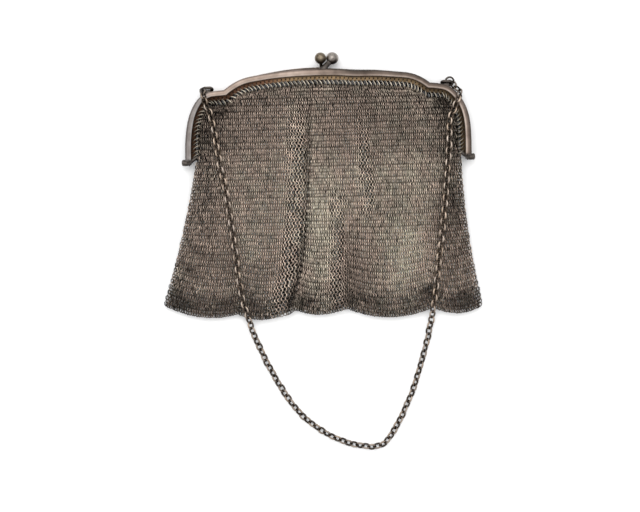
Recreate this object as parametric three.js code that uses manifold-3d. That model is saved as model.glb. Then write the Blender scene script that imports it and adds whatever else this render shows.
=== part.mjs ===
// Silver ring-mesh purse lying on its back: a two-part hinged frame with a ball clasp, a soft pouch of
// linked rings hung from the frame's pierced rails, and a carrying chain laid over the front.
// Millimetres. X runs across the purse, Y from the hem towards the clasp, Z up from the surface it lies on.
// Until the last lines Y = 0 is the level of the frame's hinges and X = 0 the middle of the frame.
import * as THREE from "three";
import { mergeVertices } from "three/addons/utils/BufferGeometryUtils.js";
import Module from "manifold-3d";

const wasm = await Module();
wasm.setup();

// Frame: a sheet-metal channel in two halves that meet at mid depth
const FRAME_DEPTH = 10;
const MID = FRAME_DEPTH / 2;
const PARTING_GAP = 0.3;
const SHEET = 0.8;
const FACE_ROUNDING = 1.4;
const EDGE_INSET = 0.45;
const LIP = 0.4;
const RAIL_REACH = 2.1;
const RAIL_SETBACK = 1.2;
const RAIL_SHEET = 0.6;
const BACK_CROWN_RISE = 0.5;
const RAIL_HOLE_PITCH = 2.16;
const RAIL_HOLE_RADIUS = 0.46;
const RAIL_HOLE_INSET = 1.05;

// Right half of the frame's outer outline, from the crown to the hinge. Heading and leave are the
// tangent's angles in degrees on arriving and leaving, bar the width of the front face there,
// and steps the number of straight facets up to the next row.
const FRAME_OUTLINE = [
  { name: "crown", x: 0, y: 48.3, heading: 0, bar: 3.4, steps: 7 },
  { name: "arch end", x: 40.5, y: 45.0, heading: -11, bar: 2.8, steps: 5 },
  { name: "notch", x: 53.5, y: 38.5, heading: -40, leave: -5, bar: 2.5, steps: 2 },
  { name: "shoulder", x: 60.6, y: 37.8, heading: -9, bar: 2.4, steps: 5 },
  { name: "corner", x: 68.8, y: 31.9, heading: -57, bar: 2.7, steps: 4 },
  { name: "leg", x: 73.2, y: 20, heading: -80, bar: 3.1, steps: 4 },
  { name: "leg end", x: 74.4, y: 3, heading: -90, bar: 3.2 },
];

// Clasp: two balls that press past each other, each with the line of its stem from the frame's crown
const BALL_RADIUS = 2.85;
const STEM_RADIUS = 0.75;
const CLASP = {
  front: { ball: [2.95, 53.9, 4.1], stem: [[0.2, 47.9, 6.7], [1, 50, 6.1], [2.6, 52.2, 4.9]] },
  back: { ball: [-2.95, 53.9, 5.9], stem: [[-2.7, 48.4, 3.3], [-2.7, 50.1, 3.9], [-2.6, 52.2, 5.1]] },
};

// Hinges at the leg ends: the front half has the outer knuckle, the back half the inner one.
// Each knuckle's span across and the height and depth of the tab that joins it to its leg
const HINGE_Y = 0.9;
const HINGE_PLAY = 0.3;
const KNUCKLE_RADIUS = 1.7;
const BORE_RADIUS = 1;
const PIN_RADIUS = 0.7;
const RIVET_RADIUS = 1.3;
const RIVET_RISE = 0.6;
const PIN_HEAD_RADIUS = 1.5;
const PIN_HEAD_RISE = 0.85;
const KNUCKLES = {
  front: { from: 73.3, to: 75, tabY: [1.5, 4.9], tabZ: [5.3, 7.6] },
  back: { from: 71.1, to: 73, tabY: [1.3, 4.3], tabZ: [0.3, 4.2] },
};
const LEAF_RADIUS = 0.6;
const LEAF_LINE = [[72, 0, 2.9], [70.6, 0.9, 2.9], [69.6, 3.5, 2.9]];

// Chain fittings: an eyelet on each shoulder of the back half holds a jump ring
const EYELET_X = 62.8;
const EYELET_Z = 3.1;
const EYELET_RADIUS = 1.25;
const EYELET_WIRE = 0.45;
const EYELET_RISE = 1;
const EYELET_PAD = { left: 3.2, right: 2.6, sunk: 0.9, proud: 0.1, halfDepth: 1.2 };
const RING_RADIUS = 2.2;
const RING_WIRE = 0.4;
const LEFT_RING_LEAN = THREE.MathUtils.degToRad(65);

// Pouch of ring mesh: one wall, open between the rails and closed along its sides and hem
const MESH_WALL = 1.8;
const SEAT_GAP = 0.3;
const MOUTH_HALF_WIDTH = 62.6;
const MOUTH_FRONT_Z = FRAME_DEPTH - RAIL_SETBACK - RAIL_SHEET / 2 - 0.3;
const MOUTH_BACK_Z = FRAME_DEPTH - MOUTH_FRONT_Z;
const FLOOR_Z = MESH_WALL / 2 + 0.05;
const SIDE_FLARE = {
  left: { slope: 0.189, curve: 0.000883 },
  right: { slope: 0.0412, curve: 0.00117 },
};

// Hem from left to right: the notches between its lobes, each with the dip of the lobe after it
const HEM_NOTCHES = [
  { x: -86.8, y: -72.6, dip: 3.7 },
  { x: -49, y: -77.8, dip: 4.2 },
  { x: -20.7, y: -75.6, dip: 3.1 },
  { x: 7.2, y: -76, dip: 4.8 },
  { x: 53, y: -76.5, dip: 3.4 },
  { x: 78.2, y: -76.2, dip: 0 },
];

// Folds of the front wall: crest line from top to hem, its rise, and the widths of its two flanks
const FOLDS = [
  { top: -60, hem: -68, rise: 0.8, left: 13, right: 12 },
  { top: -37, hem: -37, rise: 1.2, left: 13, right: 13 },
  { top: -15.5, hem: -24.5, rise: 2.2, left: 11, right: 4.5 },
  { top: -2, hem: -7, rise: 0.8, left: 9, right: 11 },
  { top: 18, hem: 4.5, rise: 1.8, left: 12, right: 5 },
  { top: 43, hem: 32, rise: 1.5, left: 19, right: 17 },
  { top: 64, hem: 66, rise: 0.7, left: 8, right: 8 },
];

// Levels of the pouch from mouth to hem: middle of the front wall, of the back wall, and of the side edge,
// with the squareness of the side
const LEVELS = [
  { at: 0, front: MOUTH_FRONT_Z, back: MOUTH_BACK_Z, side: MID, square: 30 },
  { at: 0.1, front: 8.6, back: FLOOR_Z, side: MID, square: 30 },
  { at: 0.3, front: 8.4, back: FLOOR_Z, side: 4.8, square: 24 },
  { at: 0.5, front: 7.8, back: FLOOR_Z, side: 3.8, square: 6 },
  { at: 0.8, front: 6.6, back: FLOOR_Z, side: 2.7, square: 4 },
  { at: 1, front: 5, back: FLOOR_Z, side: 2.1, square: 4 },
];
const HEM_SQUARENESS = 12;
const FOLDS_FULL_AT = 0.35;
const HEM_TURN_FROM = 0.8;
const EDGE_CROWDING = 0.45;
const POUCH_COLUMNS = 40;
const POUCH_ROWS = [0, 0.05, 0.13, 0.24, 0.36, 0.48, 0.6, 0.72, 0.83, 0.91, 0.965, 1];

// Chain: the width of its links, and the line it lies along from the right ring round to the left
const CHAIN_WIDTH = 3.3;
const CHAIN_STEPS = 60;
const CHAIN_ROUTE = [
  [66, 39.4, 3.4],
  [68.4, 37.7, 4.7],
  [70.3, 35.2, 7.8],
  [69.5, 32.4, 12.1],
  [67.7, 29.4, 12.3],
  [65.6, 25.4, 12],
  [64.3, 19.3, 11.9],
  [63.2, 9.5, 11.9],
  [61.7, -3.6, 11.7],
  [60.3, -18.9, 10.9],
  [58.3, -36.4, 10],
  [56.2, -51.7, 9.3],
  [54.4, -65.8, 8.5],
  [53, -74.6, 7.5],
  [51.9, -81.4, 4.8],
  [50.7, -87.6, 2.6],
  [48.9, -95.5, 1.9],
  [46.3, -104.2, 1.75],
  [41.3, -119.5, 1.75],
  [34, -135.4, 1.75],
  [29.4, -142.9, 1.75],
  [25.4, -147.4, 1.75],
  [18.5, -148.7, 1.75],
  [8, -146.6, 1.75],
  [-4, -141.4, 1.75],
  [-15.3, -132.8, 1.75],
  [-24.5, -121.4, 1.75],
  [-32.6, -107.4, 1.75],
  [-37.2, -97.6, 1.9],
  [-40.6, -89.6, 2.6],
  [-42.7, -83, 4.8],
  [-44.2, -77.6, 7.4],
  [-46.2, -70.4, 8.8],
  [-48.2, -58.1, 9.4],
  [-50.7, -35, 10.2],
  [-54, -11.9, 11.1],
  [-56.4, 0.1, 11.7],
  [-58.4, 12.2, 11.9],
  [-60.2, 23, 11.9],
  [-62.6, 30.6, 12],
  [-65, 36, 12],
  [-66.2, 39.3, 9.8],
  [-64.9, 40, 7.3],
];

const MATERIALS = {
  frame: new THREE.MeshStandardMaterial({ color: 0xa09184, roughness: 0.38, metalness: 0.9 }),
  mesh: new THREE.MeshStandardMaterial({ color: 0x7d766c, roughness: 0.5, metalness: 0.8 }),
  chain: new THREE.MeshStandardMaterial({ color: 0x807062, roughness: 0.42, metalness: 0.85 }),
  pin: new THREE.MeshStandardMaterial({ color: 0x5e5a55, roughness: 0.45, metalness: 0.85 }),
};

// Solids and meshes
function closedSolid(geometry) {
  const bare = geometry.clone();
  bare.deleteAttribute("normal");
  bare.deleteAttribute("uv");
  const merged = mergeVertices(bare, 1e-4);
  return new wasm.Manifold(
    new wasm.Mesh({
      numProp: 3,
      vertProperties: new Float32Array(merged.attributes.position.array),
      triVerts: new Uint32Array(merged.index.array),
    }),
  );
}

function geometryOf(solid) {
  const mesh = solid.getMesh();
  const geometry = new THREE.BufferGeometry();
  geometry.setAttribute("position", new THREE.BufferAttribute(mesh.vertProperties, 3));
  geometry.setIndex(new THREE.BufferAttribute(mesh.triVerts, 1));
  geometry.computeVertexNormals();
  return geometry;
}

function gridGeometry(points, triangles) {
  const geometry = new THREE.BufferGeometry();
  geometry.setAttribute("position", new THREE.Float32BufferAttribute(points.flat(), 3));
  geometry.setIndex(triangles);
  geometry.computeVertexNormals();
  return geometry;
}

function namedMesh(name, geometry, material) {
  const mesh = new THREE.Mesh(geometry, material);
  mesh.name = name;
  return mesh;
}

function smoothStep(value) {
  const t = THREE.MathUtils.clamp(value, 0, 1);
  return t * t * (3 - 2 * t);
}

// A point of a curve table, interpolated at x along the named column
function tableValue(rows, key, column, x) {
  const next = rows.findIndex((row) => row[key] >= x);
  if (next <= 0) return rows[next === 0 ? 0 : rows.length - 1][column];
  const [a, b] = [rows[next - 1], rows[next]];
  return THREE.MathUtils.lerp(a[column], b[column], (x - a[key]) / (b[key] - a[key]));
}

// Frame outline
function directionOf(degrees) {
  const angle = THREE.MathUtils.degToRad(degrees);
  return new THREE.Vector2(Math.cos(angle), Math.sin(angle));
}

function inwardOf(direction) {
  return new THREE.Vector2(direction.y, -direction.x);
}

function miterOf(arriving, leaving) {
  const a = inwardOf(directionOf(arriving));
  const b = inwardOf(directionOf(leaving));
  const middle = a.clone().add(b).normalize();
  return middle.divideScalar(middle.dot(a));
}

function spanCurve(row, next) {
  const start = new THREE.Vector2(row.x, row.y);
  const end = new THREE.Vector2(next.x, next.y);
  const handle = start.distanceTo(end) / 3;
  const out = directionOf(row.leave ?? row.heading).multiplyScalar(handle);
  const back = directionOf(next.heading).multiplyScalar(handle);
  return new THREE.CubicBezierCurve(start, start.clone().add(out), end.clone().sub(back), end);
}

// Stations from the left leg end over the crown to the right leg end: a point of the outline,
// the inward normal there and the width of the bar
function frameStations(crownRise) {
  const right = [];
  FRAME_OUTLINE.slice(0, -1).forEach((row, i) => {
    const next = FRAME_OUTLINE[i + 1];
    const curve = spanCurve(row, next);
    for (let k = i === 0 ? 0 : 1; k <= row.steps; k += 1) {
      const t = k / row.steps;
      const corner = k === row.steps && next.leave !== undefined;
      right.push({
        point: curve.getPoint(t),
        inward: corner ? miterOf(next.heading, next.leave) : inwardOf(curve.getTangent(t)),
        bar: THREE.MathUtils.lerp(row.bar, next.bar, t),
      });
    }
  });
  const notch = FRAME_OUTLINE.find((row) => row.name === "notch");
  right.forEach(({ point }) => {
    point.y += crownRise * smoothStep((notch.x - point.x) / FRAME_OUTLINE[1].x);
  });
  const left = right.slice(1).reverse().map(({ point, inward, bar }) => ({
    point: new THREE.Vector2(-point.x, point.y),
    inward: new THREE.Vector2(-inward.x, inward.y),
    bar,
  }));
  return [...left, ...right];
}

// Section of the front half's channel as [inset from the outline, height], outer wall first
function channelSection(bar) {
  const parting = MID + PARTING_GAP / 2;
  const face = FRAME_DEPTH;
  const rail = face - RAIL_SETBACK;
  return [
    [0, parting],
    [0, face - FACE_ROUNDING],
    [EDGE_INSET, face - LIP],
    [FACE_ROUNDING, face],
    [bar - LIP, face],
    [bar, face - LIP],
    [bar, rail],
    [bar + RAIL_REACH, rail],
    [bar + RAIL_REACH, rail - RAIL_SHEET],
    [bar - SHEET, rail - RAIL_SHEET],
    [bar - SHEET, face - SHEET],
    [SHEET, face - SHEET],
    [SHEET, parting],
  ];
}

function onStation({ point, inward }, inset) {
  return new THREE.Vector2().copy(inward).multiplyScalar(inset).add(point);
}

function channelSweep(stations) {
  const count = channelSection(0).length;
  const points = stations.flatMap((station) =>
    channelSection(station.bar).map(([inset, z]) => [...onStation(station, inset).toArray(), z]),
  );
  const triangles = [];
  for (let i = 0; i + 1 < stations.length; i += 1) {
    for (let k = 0; k < count; k += 1) {
      const [a, b] = [i * count + k, i * count + ((k + 1) % count)];
      const [c, d] = [a + count, b + count];
      triangles.push(a, b, c, b, d, c);
    }
  }
  const last = (stations.length - 1) * count;
  const outline = channelSection(stations[0].bar).map(([inset, z]) => new THREE.Vector2(inset, z));
  THREE.ShapeUtils.triangulateShape(outline, []).forEach(([a, b, c]) => {
    triangles.push(a, b, c, last + a, last + c, last + b);
  });
  return closedSolid(gridGeometry(points, facingOut(points, triangles)));
}

// Triangles turned round if they enclose a negative volume
function facingOut(points, triangles) {
  const corner = (i) => new THREE.Vector3(...points[triangles[i]]);
  let volume = 0;
  for (let i = 0; i < triangles.length; i += 3) {
    volume += corner(i).dot(corner(i + 1).cross(corner(i + 2)));
  }
  return volume < 0 ? triangles.toReversed() : triangles;
}

function mirroredInDepth(solid) {
  return solid.mirror([0, 0, 1]).translate([0, 0, FRAME_DEPTH]);
}

// Evenly spaced places along a line of points, each with the direction of travel
function evenPlaces(line, pitch) {
  const curve = new THREE.CurvePath();
  line.slice(1).forEach((end, i) => curve.add(new THREE.LineCurve(line[i], end)));
  const count = Math.floor(curve.getLength() / pitch);
  return Array.from({ length: count }, (_, i) => {
    const at = (i + 0.5) / count;
    return { point: curve.getPointAt(at), along: curve.getTangentAt(at) };
  });
}

function railHoles(stations) {
  const line = stations.map((station) => onStation(station, station.bar + RAIL_HOLE_INSET));
  const holes = evenPlaces(line, RAIL_HOLE_PITCH).map(({ point, along }) => {
    const hole = new THREE.CylinderGeometry(RAIL_HOLE_RADIUS, RAIL_HOLE_RADIUS, 3 * RAIL_SHEET, 4);
    hole.rotateX(Math.PI / 2).rotateZ(along.angle());
    hole.translate(point.x, point.y, FRAME_DEPTH - RAIL_SETBACK - RAIL_SHEET / 2);
    return closedSolid(hole);
  });
  return wasm.Manifold.union(holes);
}

// Clasp, hinges and chain fittings
function roundSection(radius, sides) {
  const corner = (i) => directionOf((360 * i) / sides).multiplyScalar(radius);
  return new THREE.Shape(Array.from({ length: sides }, (_, i) => corner(i)));
}

function tubeAlong(points, radius, sides, steps) {
  const path = new THREE.CatmullRomCurve3(points.map((point) => new THREE.Vector3(...point)));
  return new THREE.ExtrudeGeometry(roundSection(radius, sides), { steps, extrudePath: path });
}

function claspBall({ ball, stem }) {
  const sphere = new THREE.SphereGeometry(BALL_RADIUS, 14, 8).translate(...ball);
  return closedSolid(sphere).add(closedSolid(tubeAlong(stem, STEM_RADIUS, 8, 4)));
}

function boxBetween(low, high) {
  const size = high.map((value, i) => value - low[i]);
  const middle = high.map((value, i) => (value + low[i]) / 2);
  return new THREE.BoxGeometry(...size).translate(...middle);
}

function barrelAlongX(radius, from, to) {
  const barrel = new THREE.CylinderGeometry(radius, radius, to - from, 12).rotateZ(Math.PI / 2);
  return barrel.translate((from + to) / 2, HINGE_Y, MID);
}

// Right hinge knuckle of one half with the tab that joins it to the leg end; the left one is its mirror
function hingeKnuckle({ from, to, tabY, tabZ }) {
  const tab = boxBetween([from, tabY[0], tabZ[0]], [to - HINGE_PLAY / 2, tabY[1], tabZ[1]]);
  const bore = closedSolid(barrelAlongX(BORE_RADIUS, from - KNUCKLE_RADIUS, to + KNUCKLE_RADIUS));
  const knuckle = closedSolid(barrelAlongX(KNUCKLE_RADIUS, from, to));
  return knuckle.add(closedSolid(tab)).subtract(bore);
}

function onBothSides(solid) {
  return solid.add(solid.mirror([1, 0, 0]));
}

// Pin with a flat rivet inside and a domed head outside
function hingePin(side) {
  const inner = KNUCKLES.back.from - HINGE_PLAY;
  const outer = KNUCKLES.front.to + HINGE_PLAY;
  const profile = [
    [0, inner - RIVET_RISE],
    [0.85 * RIVET_RADIUS, inner - 0.85 * RIVET_RISE],
    [RIVET_RADIUS, inner],
    [PIN_RADIUS, inner],
    [PIN_RADIUS, outer],
    [PIN_HEAD_RADIUS, outer],
    [0.92 * PIN_HEAD_RADIUS, outer + 0.5 * PIN_HEAD_RISE],
    [0.55 * PIN_HEAD_RADIUS, outer + 0.88 * PIN_HEAD_RISE],
    [0, outer + PIN_HEAD_RISE],
  ].map(([radius, along]) => new THREE.Vector2(radius, along));
  const pin = new THREE.LatheGeometry(profile, 12).rotateZ(-Math.PI / 2);
  if (side < 0) pin.rotateY(Math.PI);
  return pin.translate(0, HINGE_Y, MID);
}

function shoulderTop(stations) {
  const right = stations.filter(({ point }) => point.x > 0).map(({ point }) => point);
  return tableValue(right, "x", "y", EYELET_X);
}

function eyelet(top) {
  const { left, right, sunk, proud, halfDepth } = EYELET_PAD;
  const pad = boxBetween(
    [EYELET_X - left, top - sunk, EYELET_Z - halfDepth],
    [EYELET_X + right, top + proud, EYELET_Z + halfDepth],
  );
  const loop = new THREE.TorusGeometry(EYELET_RADIUS, EYELET_WIRE, 6, 14).rotateY(Math.PI / 2);
  loop.translate(EYELET_X, top + EYELET_RISE, EYELET_Z);
  return closedSolid(pad).add(closedSolid(loop));
}

// A jump ring through the eyelet's middle, leaning forward by the angle
function jumpRing(side, top, lean) {
  const ring = new THREE.TorusGeometry(RING_RADIUS, RING_WIRE, 6, 16);
  ring.translate(0, RING_RADIUS, 0).rotateX(lean);
  return ring.translate(side * EYELET_X, top + EYELET_RISE, EYELET_Z);
}

function frontHalf() {
  const stations = frameStations(0);
  return channelSweep(stations)
    .subtract(railHoles(stations))
    .add(claspBall(CLASP.front))
    .add(onBothSides(hingeKnuckle(KNUCKLES.front)));
}

function backHalf() {
  const stations = frameStations(BACK_CROWN_RISE);
  const leaf = closedSolid(tubeAlong(LEAF_LINE, LEAF_RADIUS, 6, 4));
  const fittings = hingeKnuckle(KNUCKLES.back).add(leaf).add(eyelet(shoulderTop(stations)));
  return mirroredInDepth(channelSweep(stations)).add(claspBall(CLASP.back)).add(onBothSides(fittings));
}

// Pouch
const railEdge = frameStations(0).map((station) =>
  onStation(station, station.bar + RAIL_REACH + SEAT_GAP),
);

function mouthPoint(u) {
  const x = u * MOUTH_HALF_WIDTH;
  return new THREE.Vector2(x, tableValue(railEdge, "x", "y", x));
}

// Side edge at a height: along the leg's rail above the hinge, flaring freely below it
function sidePoint(side, y) {
  const rising = railEdge.filter(({ x }) => x >= 0).reverse();
  const { slope, curve } = side < 0 ? SIDE_FLARE.left : SIDE_FLARE.right;
  const drop = Math.max(0, -y);
  return new THREE.Vector2(side * (tableValue(rising, "y", "x", y) + slope * drop + curve * drop * drop), y);
}

function hemPoint(u) {
  const first = HEM_NOTCHES[0];
  const last = HEM_NOTCHES.at(-1);
  const x = THREE.MathUtils.mapLinear(u, -1, 1, first.x, last.x);
  const next = Math.max(1, HEM_NOTCHES.findIndex((notch) => notch.x >= x - 1e-9));
  const [a, b] = [HEM_NOTCHES[next - 1], HEM_NOTCHES[next]];
  const t = (x - a.x) / (b.x - a.x);
  return new THREE.Vector2(x, THREE.MathUtils.lerp(a.y, b.y, t) - a.dip * 4 * t * (1 - t));
}

// Plan of the pouch: a patch between mouth, hem and the two side edges. u runs from -1 at the left
// to 1 at the right, v from 0 at the mouth to 1 at the hem.
function planPoint(u, v) {
  const across = (u + 1) / 2;
  const ends = [-1, 1].map((side) => {
    const [top, foot] = [mouthPoint(side), hemPoint(side)];
    const edge = sidePoint(side, THREE.MathUtils.lerp(top.y, foot.y, v));
    const footDrift = foot.x - sidePoint(side, foot.y).x;
    edge.x += footDrift * v;
    return { edge, straight: top.clone().lerp(foot, v) };
  });
  const [left, right] = ends.map(({ edge, straight }) => edge.sub(straight));
  return mouthPoint(u)
    .lerp(hemPoint(u), v)
    .add(left.multiplyScalar(1 - across))
    .add(right.multiplyScalar(across));
}

function foldRise(x, v) {
  const grown = smoothStep(v / FOLDS_FULL_AT);
  return FOLDS.reduce((sum, fold) => {
    const offset = x - THREE.MathUtils.lerp(fold.top, fold.hem, v);
    const reach = offset < 0 ? fold.left : fold.right;
    const swell = Math.max(0, 1 - Math.abs(offset) / reach);
    return sum + grown * fold.rise * smoothStep(swell);
  }, 0);
}

// A point on the middle of the front wall (face 1) or back wall (face -1), moved out by the offset
function pouchPoint(u, v, face, offset) {
  const inset = offset < 0 ? MESH_WALL : 0;
  const { x, y } = planPoint(u, v);
  const half = (hemPoint(1).x - hemPoint(-1).x) / 2;
  const level = (column) => tableValue(LEVELS, "at", column, v);
  const square = level("square");
  const roundSide = (1 - Math.abs(u) ** square) ** (1 / square);
  const roundHem = (1 - v ** HEM_SQUARENESS) ** (1 / HEM_SQUARENESS);
  const fullness = roundSide * roundHem;
  const wall = face > 0 ? level("front") + foldRise(x, v) : level("back");
  const z = level("side") + (wall + face * offset - level("side")) * fullness;
  return [x * (1 - inset / half), y + inset * smoothStep((v - HEM_TURN_FROM) / (1 - HEM_TURN_FROM)), z];
}

// Outer and inner skins, each a front and a back sheet that share their side and hem edges,
// joined round the mouth
function pouchGeometry() {
  const columns = Array.from({ length: POUCH_COLUMNS + 1 }, (_, i) => {
    const even = -1 + (2 * i) / POUCH_COLUMNS;
    return THREE.MathUtils.lerp(even, Math.sin((even * Math.PI) / 2), EDGE_CROWDING);
  });
  const points = [];
  const sheets = [1, -1].flatMap((skin) =>
    [1, -1].map((face) => {
      const shared = face < 0 ? points.length - columns.length * POUCH_ROWS.length : -1;
      return POUCH_ROWS.map((v, row) =>
        columns.map((u, column) => {
          points.push(pouchPoint(u, v, face, (skin * MESH_WALL) / 2));
          const edge = row === POUCH_ROWS.length - 1 || column === 0 || column === POUCH_COLUMNS;
          return shared >= 0 && edge ? shared + row * columns.length + column : points.length - 1;
        }),
      );
    }),
  );
  const triangles = [];
  const addQuad = (a, b, c, d) => triangles.push(a, b, c, a, c, d);
  sheets.forEach((sheet, index) => {
    const flipped = index === 0 || index === 3;
    for (let row = 0; row + 1 < sheet.length; row += 1) {
      for (let column = 0; column < POUCH_COLUMNS; column += 1) {
        const [a, b] = [sheet[row][column], sheet[row][column + 1]];
        const [d, c] = [sheet[row + 1][column], sheet[row + 1][column + 1]];
        const corners = 2 * column < POUCH_COLUMNS ? [b, a, d, c] : [c, b, a, d];
        addQuad(...(flipped ? corners : corners.toReversed()));
      }
    }
  });
  const [frontOut, backOut, frontIn, backIn] = sheets.map((sheet) => sheet[0]);
  for (let column = 0; column < POUCH_COLUMNS; column += 1) {
    const next = column + 1;
    addQuad(frontOut[column], frontOut[next], frontIn[next], frontIn[column]);
    addQuad(backOut[next], backOut[column], backIn[column], backIn[next]);
  }
  return geometryOf(closedSolid(gridGeometry(points, triangles)));
}

// Assembly
const eyeletTop = shoulderTop(frameStations(BACK_CROWN_RISE));
const frame = new THREE.Group();
frame.add(
  namedMesh("frame_front", geometryOf(frontHalf()), MATERIALS.frame),
  namedMesh("frame_back", geometryOf(backHalf()), MATERIALS.frame),
  namedMesh("hinge_pin_left", hingePin(-1), MATERIALS.pin),
  namedMesh("hinge_pin_right", hingePin(1), MATERIALS.pin),
);
const handle = new THREE.Group();
handle.add(
  namedMesh("ring_left", jumpRing(-1, eyeletTop, LEFT_RING_LEAN), MATERIALS.chain),
  namedMesh("ring_right", jumpRing(1, eyeletTop, 0), MATERIALS.chain),
  namedMesh("chain", tubeAlong(CHAIN_ROUTE, CHAIN_WIDTH / 2, 8, CHAIN_STEPS), MATERIALS.chain),
);
const purse = new THREE.Group();
purse.add(frame, handle, namedMesh("mesh_pouch", pouchGeometry(), MATERIALS.mesh));

// The origin is the middle of the whole purse, on the surface under it
const extent = new THREE.Box3().setFromObject(purse);
const middle = extent.getCenter(new THREE.Vector3());
purse.children.forEach((child) => child.position.set(-middle.x, -middle.y, -extent.min.z));

export default purse;
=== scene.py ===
"""Looks of the silver ring-mesh purse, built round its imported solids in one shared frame.

Sizes are in millimetres in the purse's own layout: X = 0 is the middle of the frame, Y = 0 the level of
the hinges and Z = 0 the surface that the purse lies on. Datum.metres carries them into the row frame.
"""

import logging
import math
from contextlib import contextmanager
from dataclasses import dataclass, field
from enum import Enum
from typing import Callable, Iterator

import bpy
import numpy as np
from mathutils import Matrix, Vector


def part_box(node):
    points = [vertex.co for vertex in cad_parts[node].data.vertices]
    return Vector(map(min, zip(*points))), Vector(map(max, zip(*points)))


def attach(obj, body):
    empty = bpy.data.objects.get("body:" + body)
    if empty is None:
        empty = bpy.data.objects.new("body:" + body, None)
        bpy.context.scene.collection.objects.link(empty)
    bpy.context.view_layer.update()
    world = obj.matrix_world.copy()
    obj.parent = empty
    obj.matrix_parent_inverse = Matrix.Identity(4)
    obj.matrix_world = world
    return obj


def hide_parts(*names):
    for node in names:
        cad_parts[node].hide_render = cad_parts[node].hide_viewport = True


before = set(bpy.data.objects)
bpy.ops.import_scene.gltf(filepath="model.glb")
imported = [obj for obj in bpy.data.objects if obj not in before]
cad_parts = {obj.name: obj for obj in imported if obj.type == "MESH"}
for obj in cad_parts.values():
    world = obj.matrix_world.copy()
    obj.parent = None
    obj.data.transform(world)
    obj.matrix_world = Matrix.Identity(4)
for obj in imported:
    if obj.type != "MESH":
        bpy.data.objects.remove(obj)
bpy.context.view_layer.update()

LOG = logging.getLogger("purse")
BODY = "root"
MM = 0.001
UP = np.array([0.0, 0.0, 1.0])

# Points within MERGE become one, edges under SPECK go, and wires stay FLOOR_GAP millimetres off the ground.
MERGE = 0.004 * MM
SPECK = 0.001 * MM
FLOOR_GAP = 0.02

Row = tuple[float, ...]
Colour = tuple[float, float, float]


class Named(Enum):
    """A choice whose name goes into the names of pieces and nodes."""

    @property
    def key(self) -> str:
        """Returns the name in small letters."""
        return self.name.lower()


class Side(Named):
    """Left or right of the purse, as seen from above."""

    LEFT = -1
    RIGHT = 1


class Face(Named):
    """The wall or frame half that looks up, and the one that lies underneath."""

    FRONT = 1
    BACK = -1


class Slot(Enum):
    """Material slots of the record."""

    FRAME = "frame"
    MESH = "mesh"
    CHAIN = "chain"
    HINGE = "hinge"


# Small helpers


def smooth(value: np.ndarray) -> np.ndarray:
    """Returns the smooth step of a value that is held between 0 and 1."""
    t = np.clip(value, 0.0, 1.0)
    return t * t * (3.0 - 2.0 * t)


def unit(vectors: np.ndarray) -> np.ndarray:
    """Returns the vectors at length 1."""
    return vectors / np.maximum(np.linalg.norm(vectors, axis=-1, keepdims=True), 1e-12)


def hill(x: np.ndarray, middle: float, width: float) -> np.ndarray:
    """Returns a bell of height 1 about the middle."""
    return np.exp(-(((x - middle) / width) ** 2))


def bells(x: np.ndarray, rows: tuple[Row, ...]) -> np.ndarray:
    """Returns the sum of bells, each a row of height, middle and width."""
    return sum(high * hill(x, at, wide) for high, at, wide in rows)


def patches(x: np.ndarray, y: np.ndarray, rows: tuple[Row, ...]) -> np.ndarray:
    """Returns the sum of soft patches, each a row of strength, x, y and its spread in x and in y."""
    return sum(share * hill(x, at_x, wide) * hill(y, at_y, high) for share, at_x, at_y, wide, high in rows)


def curve_through(points: np.ndarray, steps: int) -> np.ndarray:
    """Runs a smooth line through points.

    Args:
        points: The points, in order, as rows.
        steps: Number of samples for each span.

    Returns:
        The line's samples as rows, from the first point to the last.
    """
    ends = np.vstack([2 * points[0] - points[1], points, 2 * points[-1] - points[-2]])
    t = np.linspace(0.0, 1.0, steps, endpoint=False)[:, None]
    spans = []
    for a, b, c, d in zip(ends[:-3], ends[1:-2], ends[2:-1], ends[3:]):
        cubic = 2 * b + (c - a) * t + (2 * a - 5 * b + 4 * c - d) * t**2 + (3 * b - a - 3 * c + d) * t**3
        spans.append(0.5 * cubic)
    return np.vstack([*spans, points[-1:]])


def distances(line: np.ndarray) -> np.ndarray:
    """Returns the running length at each point of a line."""
    return np.concatenate([[0.0], np.cumsum(np.linalg.norm(np.diff(line, axis=0), axis=1))])


def at_lengths(line: np.ndarray, where: np.ndarray) -> np.ndarray:
    """Returns the points of a line at the given running lengths."""
    run = distances(line)
    return np.stack([np.interp(where, run, line[:, k]) for k in range(line.shape[1])], axis=1)


@dataclass(frozen=True)
class Datum:
    """Where the purse's own layout sits in the row frame, found from the two hinge pins."""

    hinge_y: float = 0.9
    mid_depth: float = 5.0

    def shift(self) -> np.ndarray:
        """Returns the row-frame place of the layout's zero, in metres."""
        left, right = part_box("hinge_pin_left"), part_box("hinge_pin_right")
        middle = np.array([*left, *right]).mean(axis=0)
        return middle - np.array([0.0, self.hinge_y, self.mid_depth]) * MM

    def metres(self, points: np.ndarray) -> np.ndarray:
        """Returns points of the layout, in millimetres, as metres of the row frame."""
        return np.asarray(points, float) * MM + SHIFT


DATUM = Datum()
SHIFT = DATUM.shift()


# Finishes


def add_node(
    nodes: bpy.types.Nodes, kind: str, inputs: dict[str | int, float | Row] | None = None,
    **settings: str | bool | bpy.types.NodeTree,
) -> bpy.types.Node:
    """Adds a shader node.

    Args:
        nodes: The nodes of the tree.
        kind: The node's type, without ShaderNode before it.
        inputs: Values of its inputs, by name or number.
        settings: Its own settings, such as the operation.

    Returns:
        The node.
    """
    node = nodes.new(f"ShaderNode{kind}")
    for key, value in settings.items():
        setattr(node, key, value)
    for key, value in (inputs or {}).items():
        node.inputs[key].default_value = value
    return node


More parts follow.
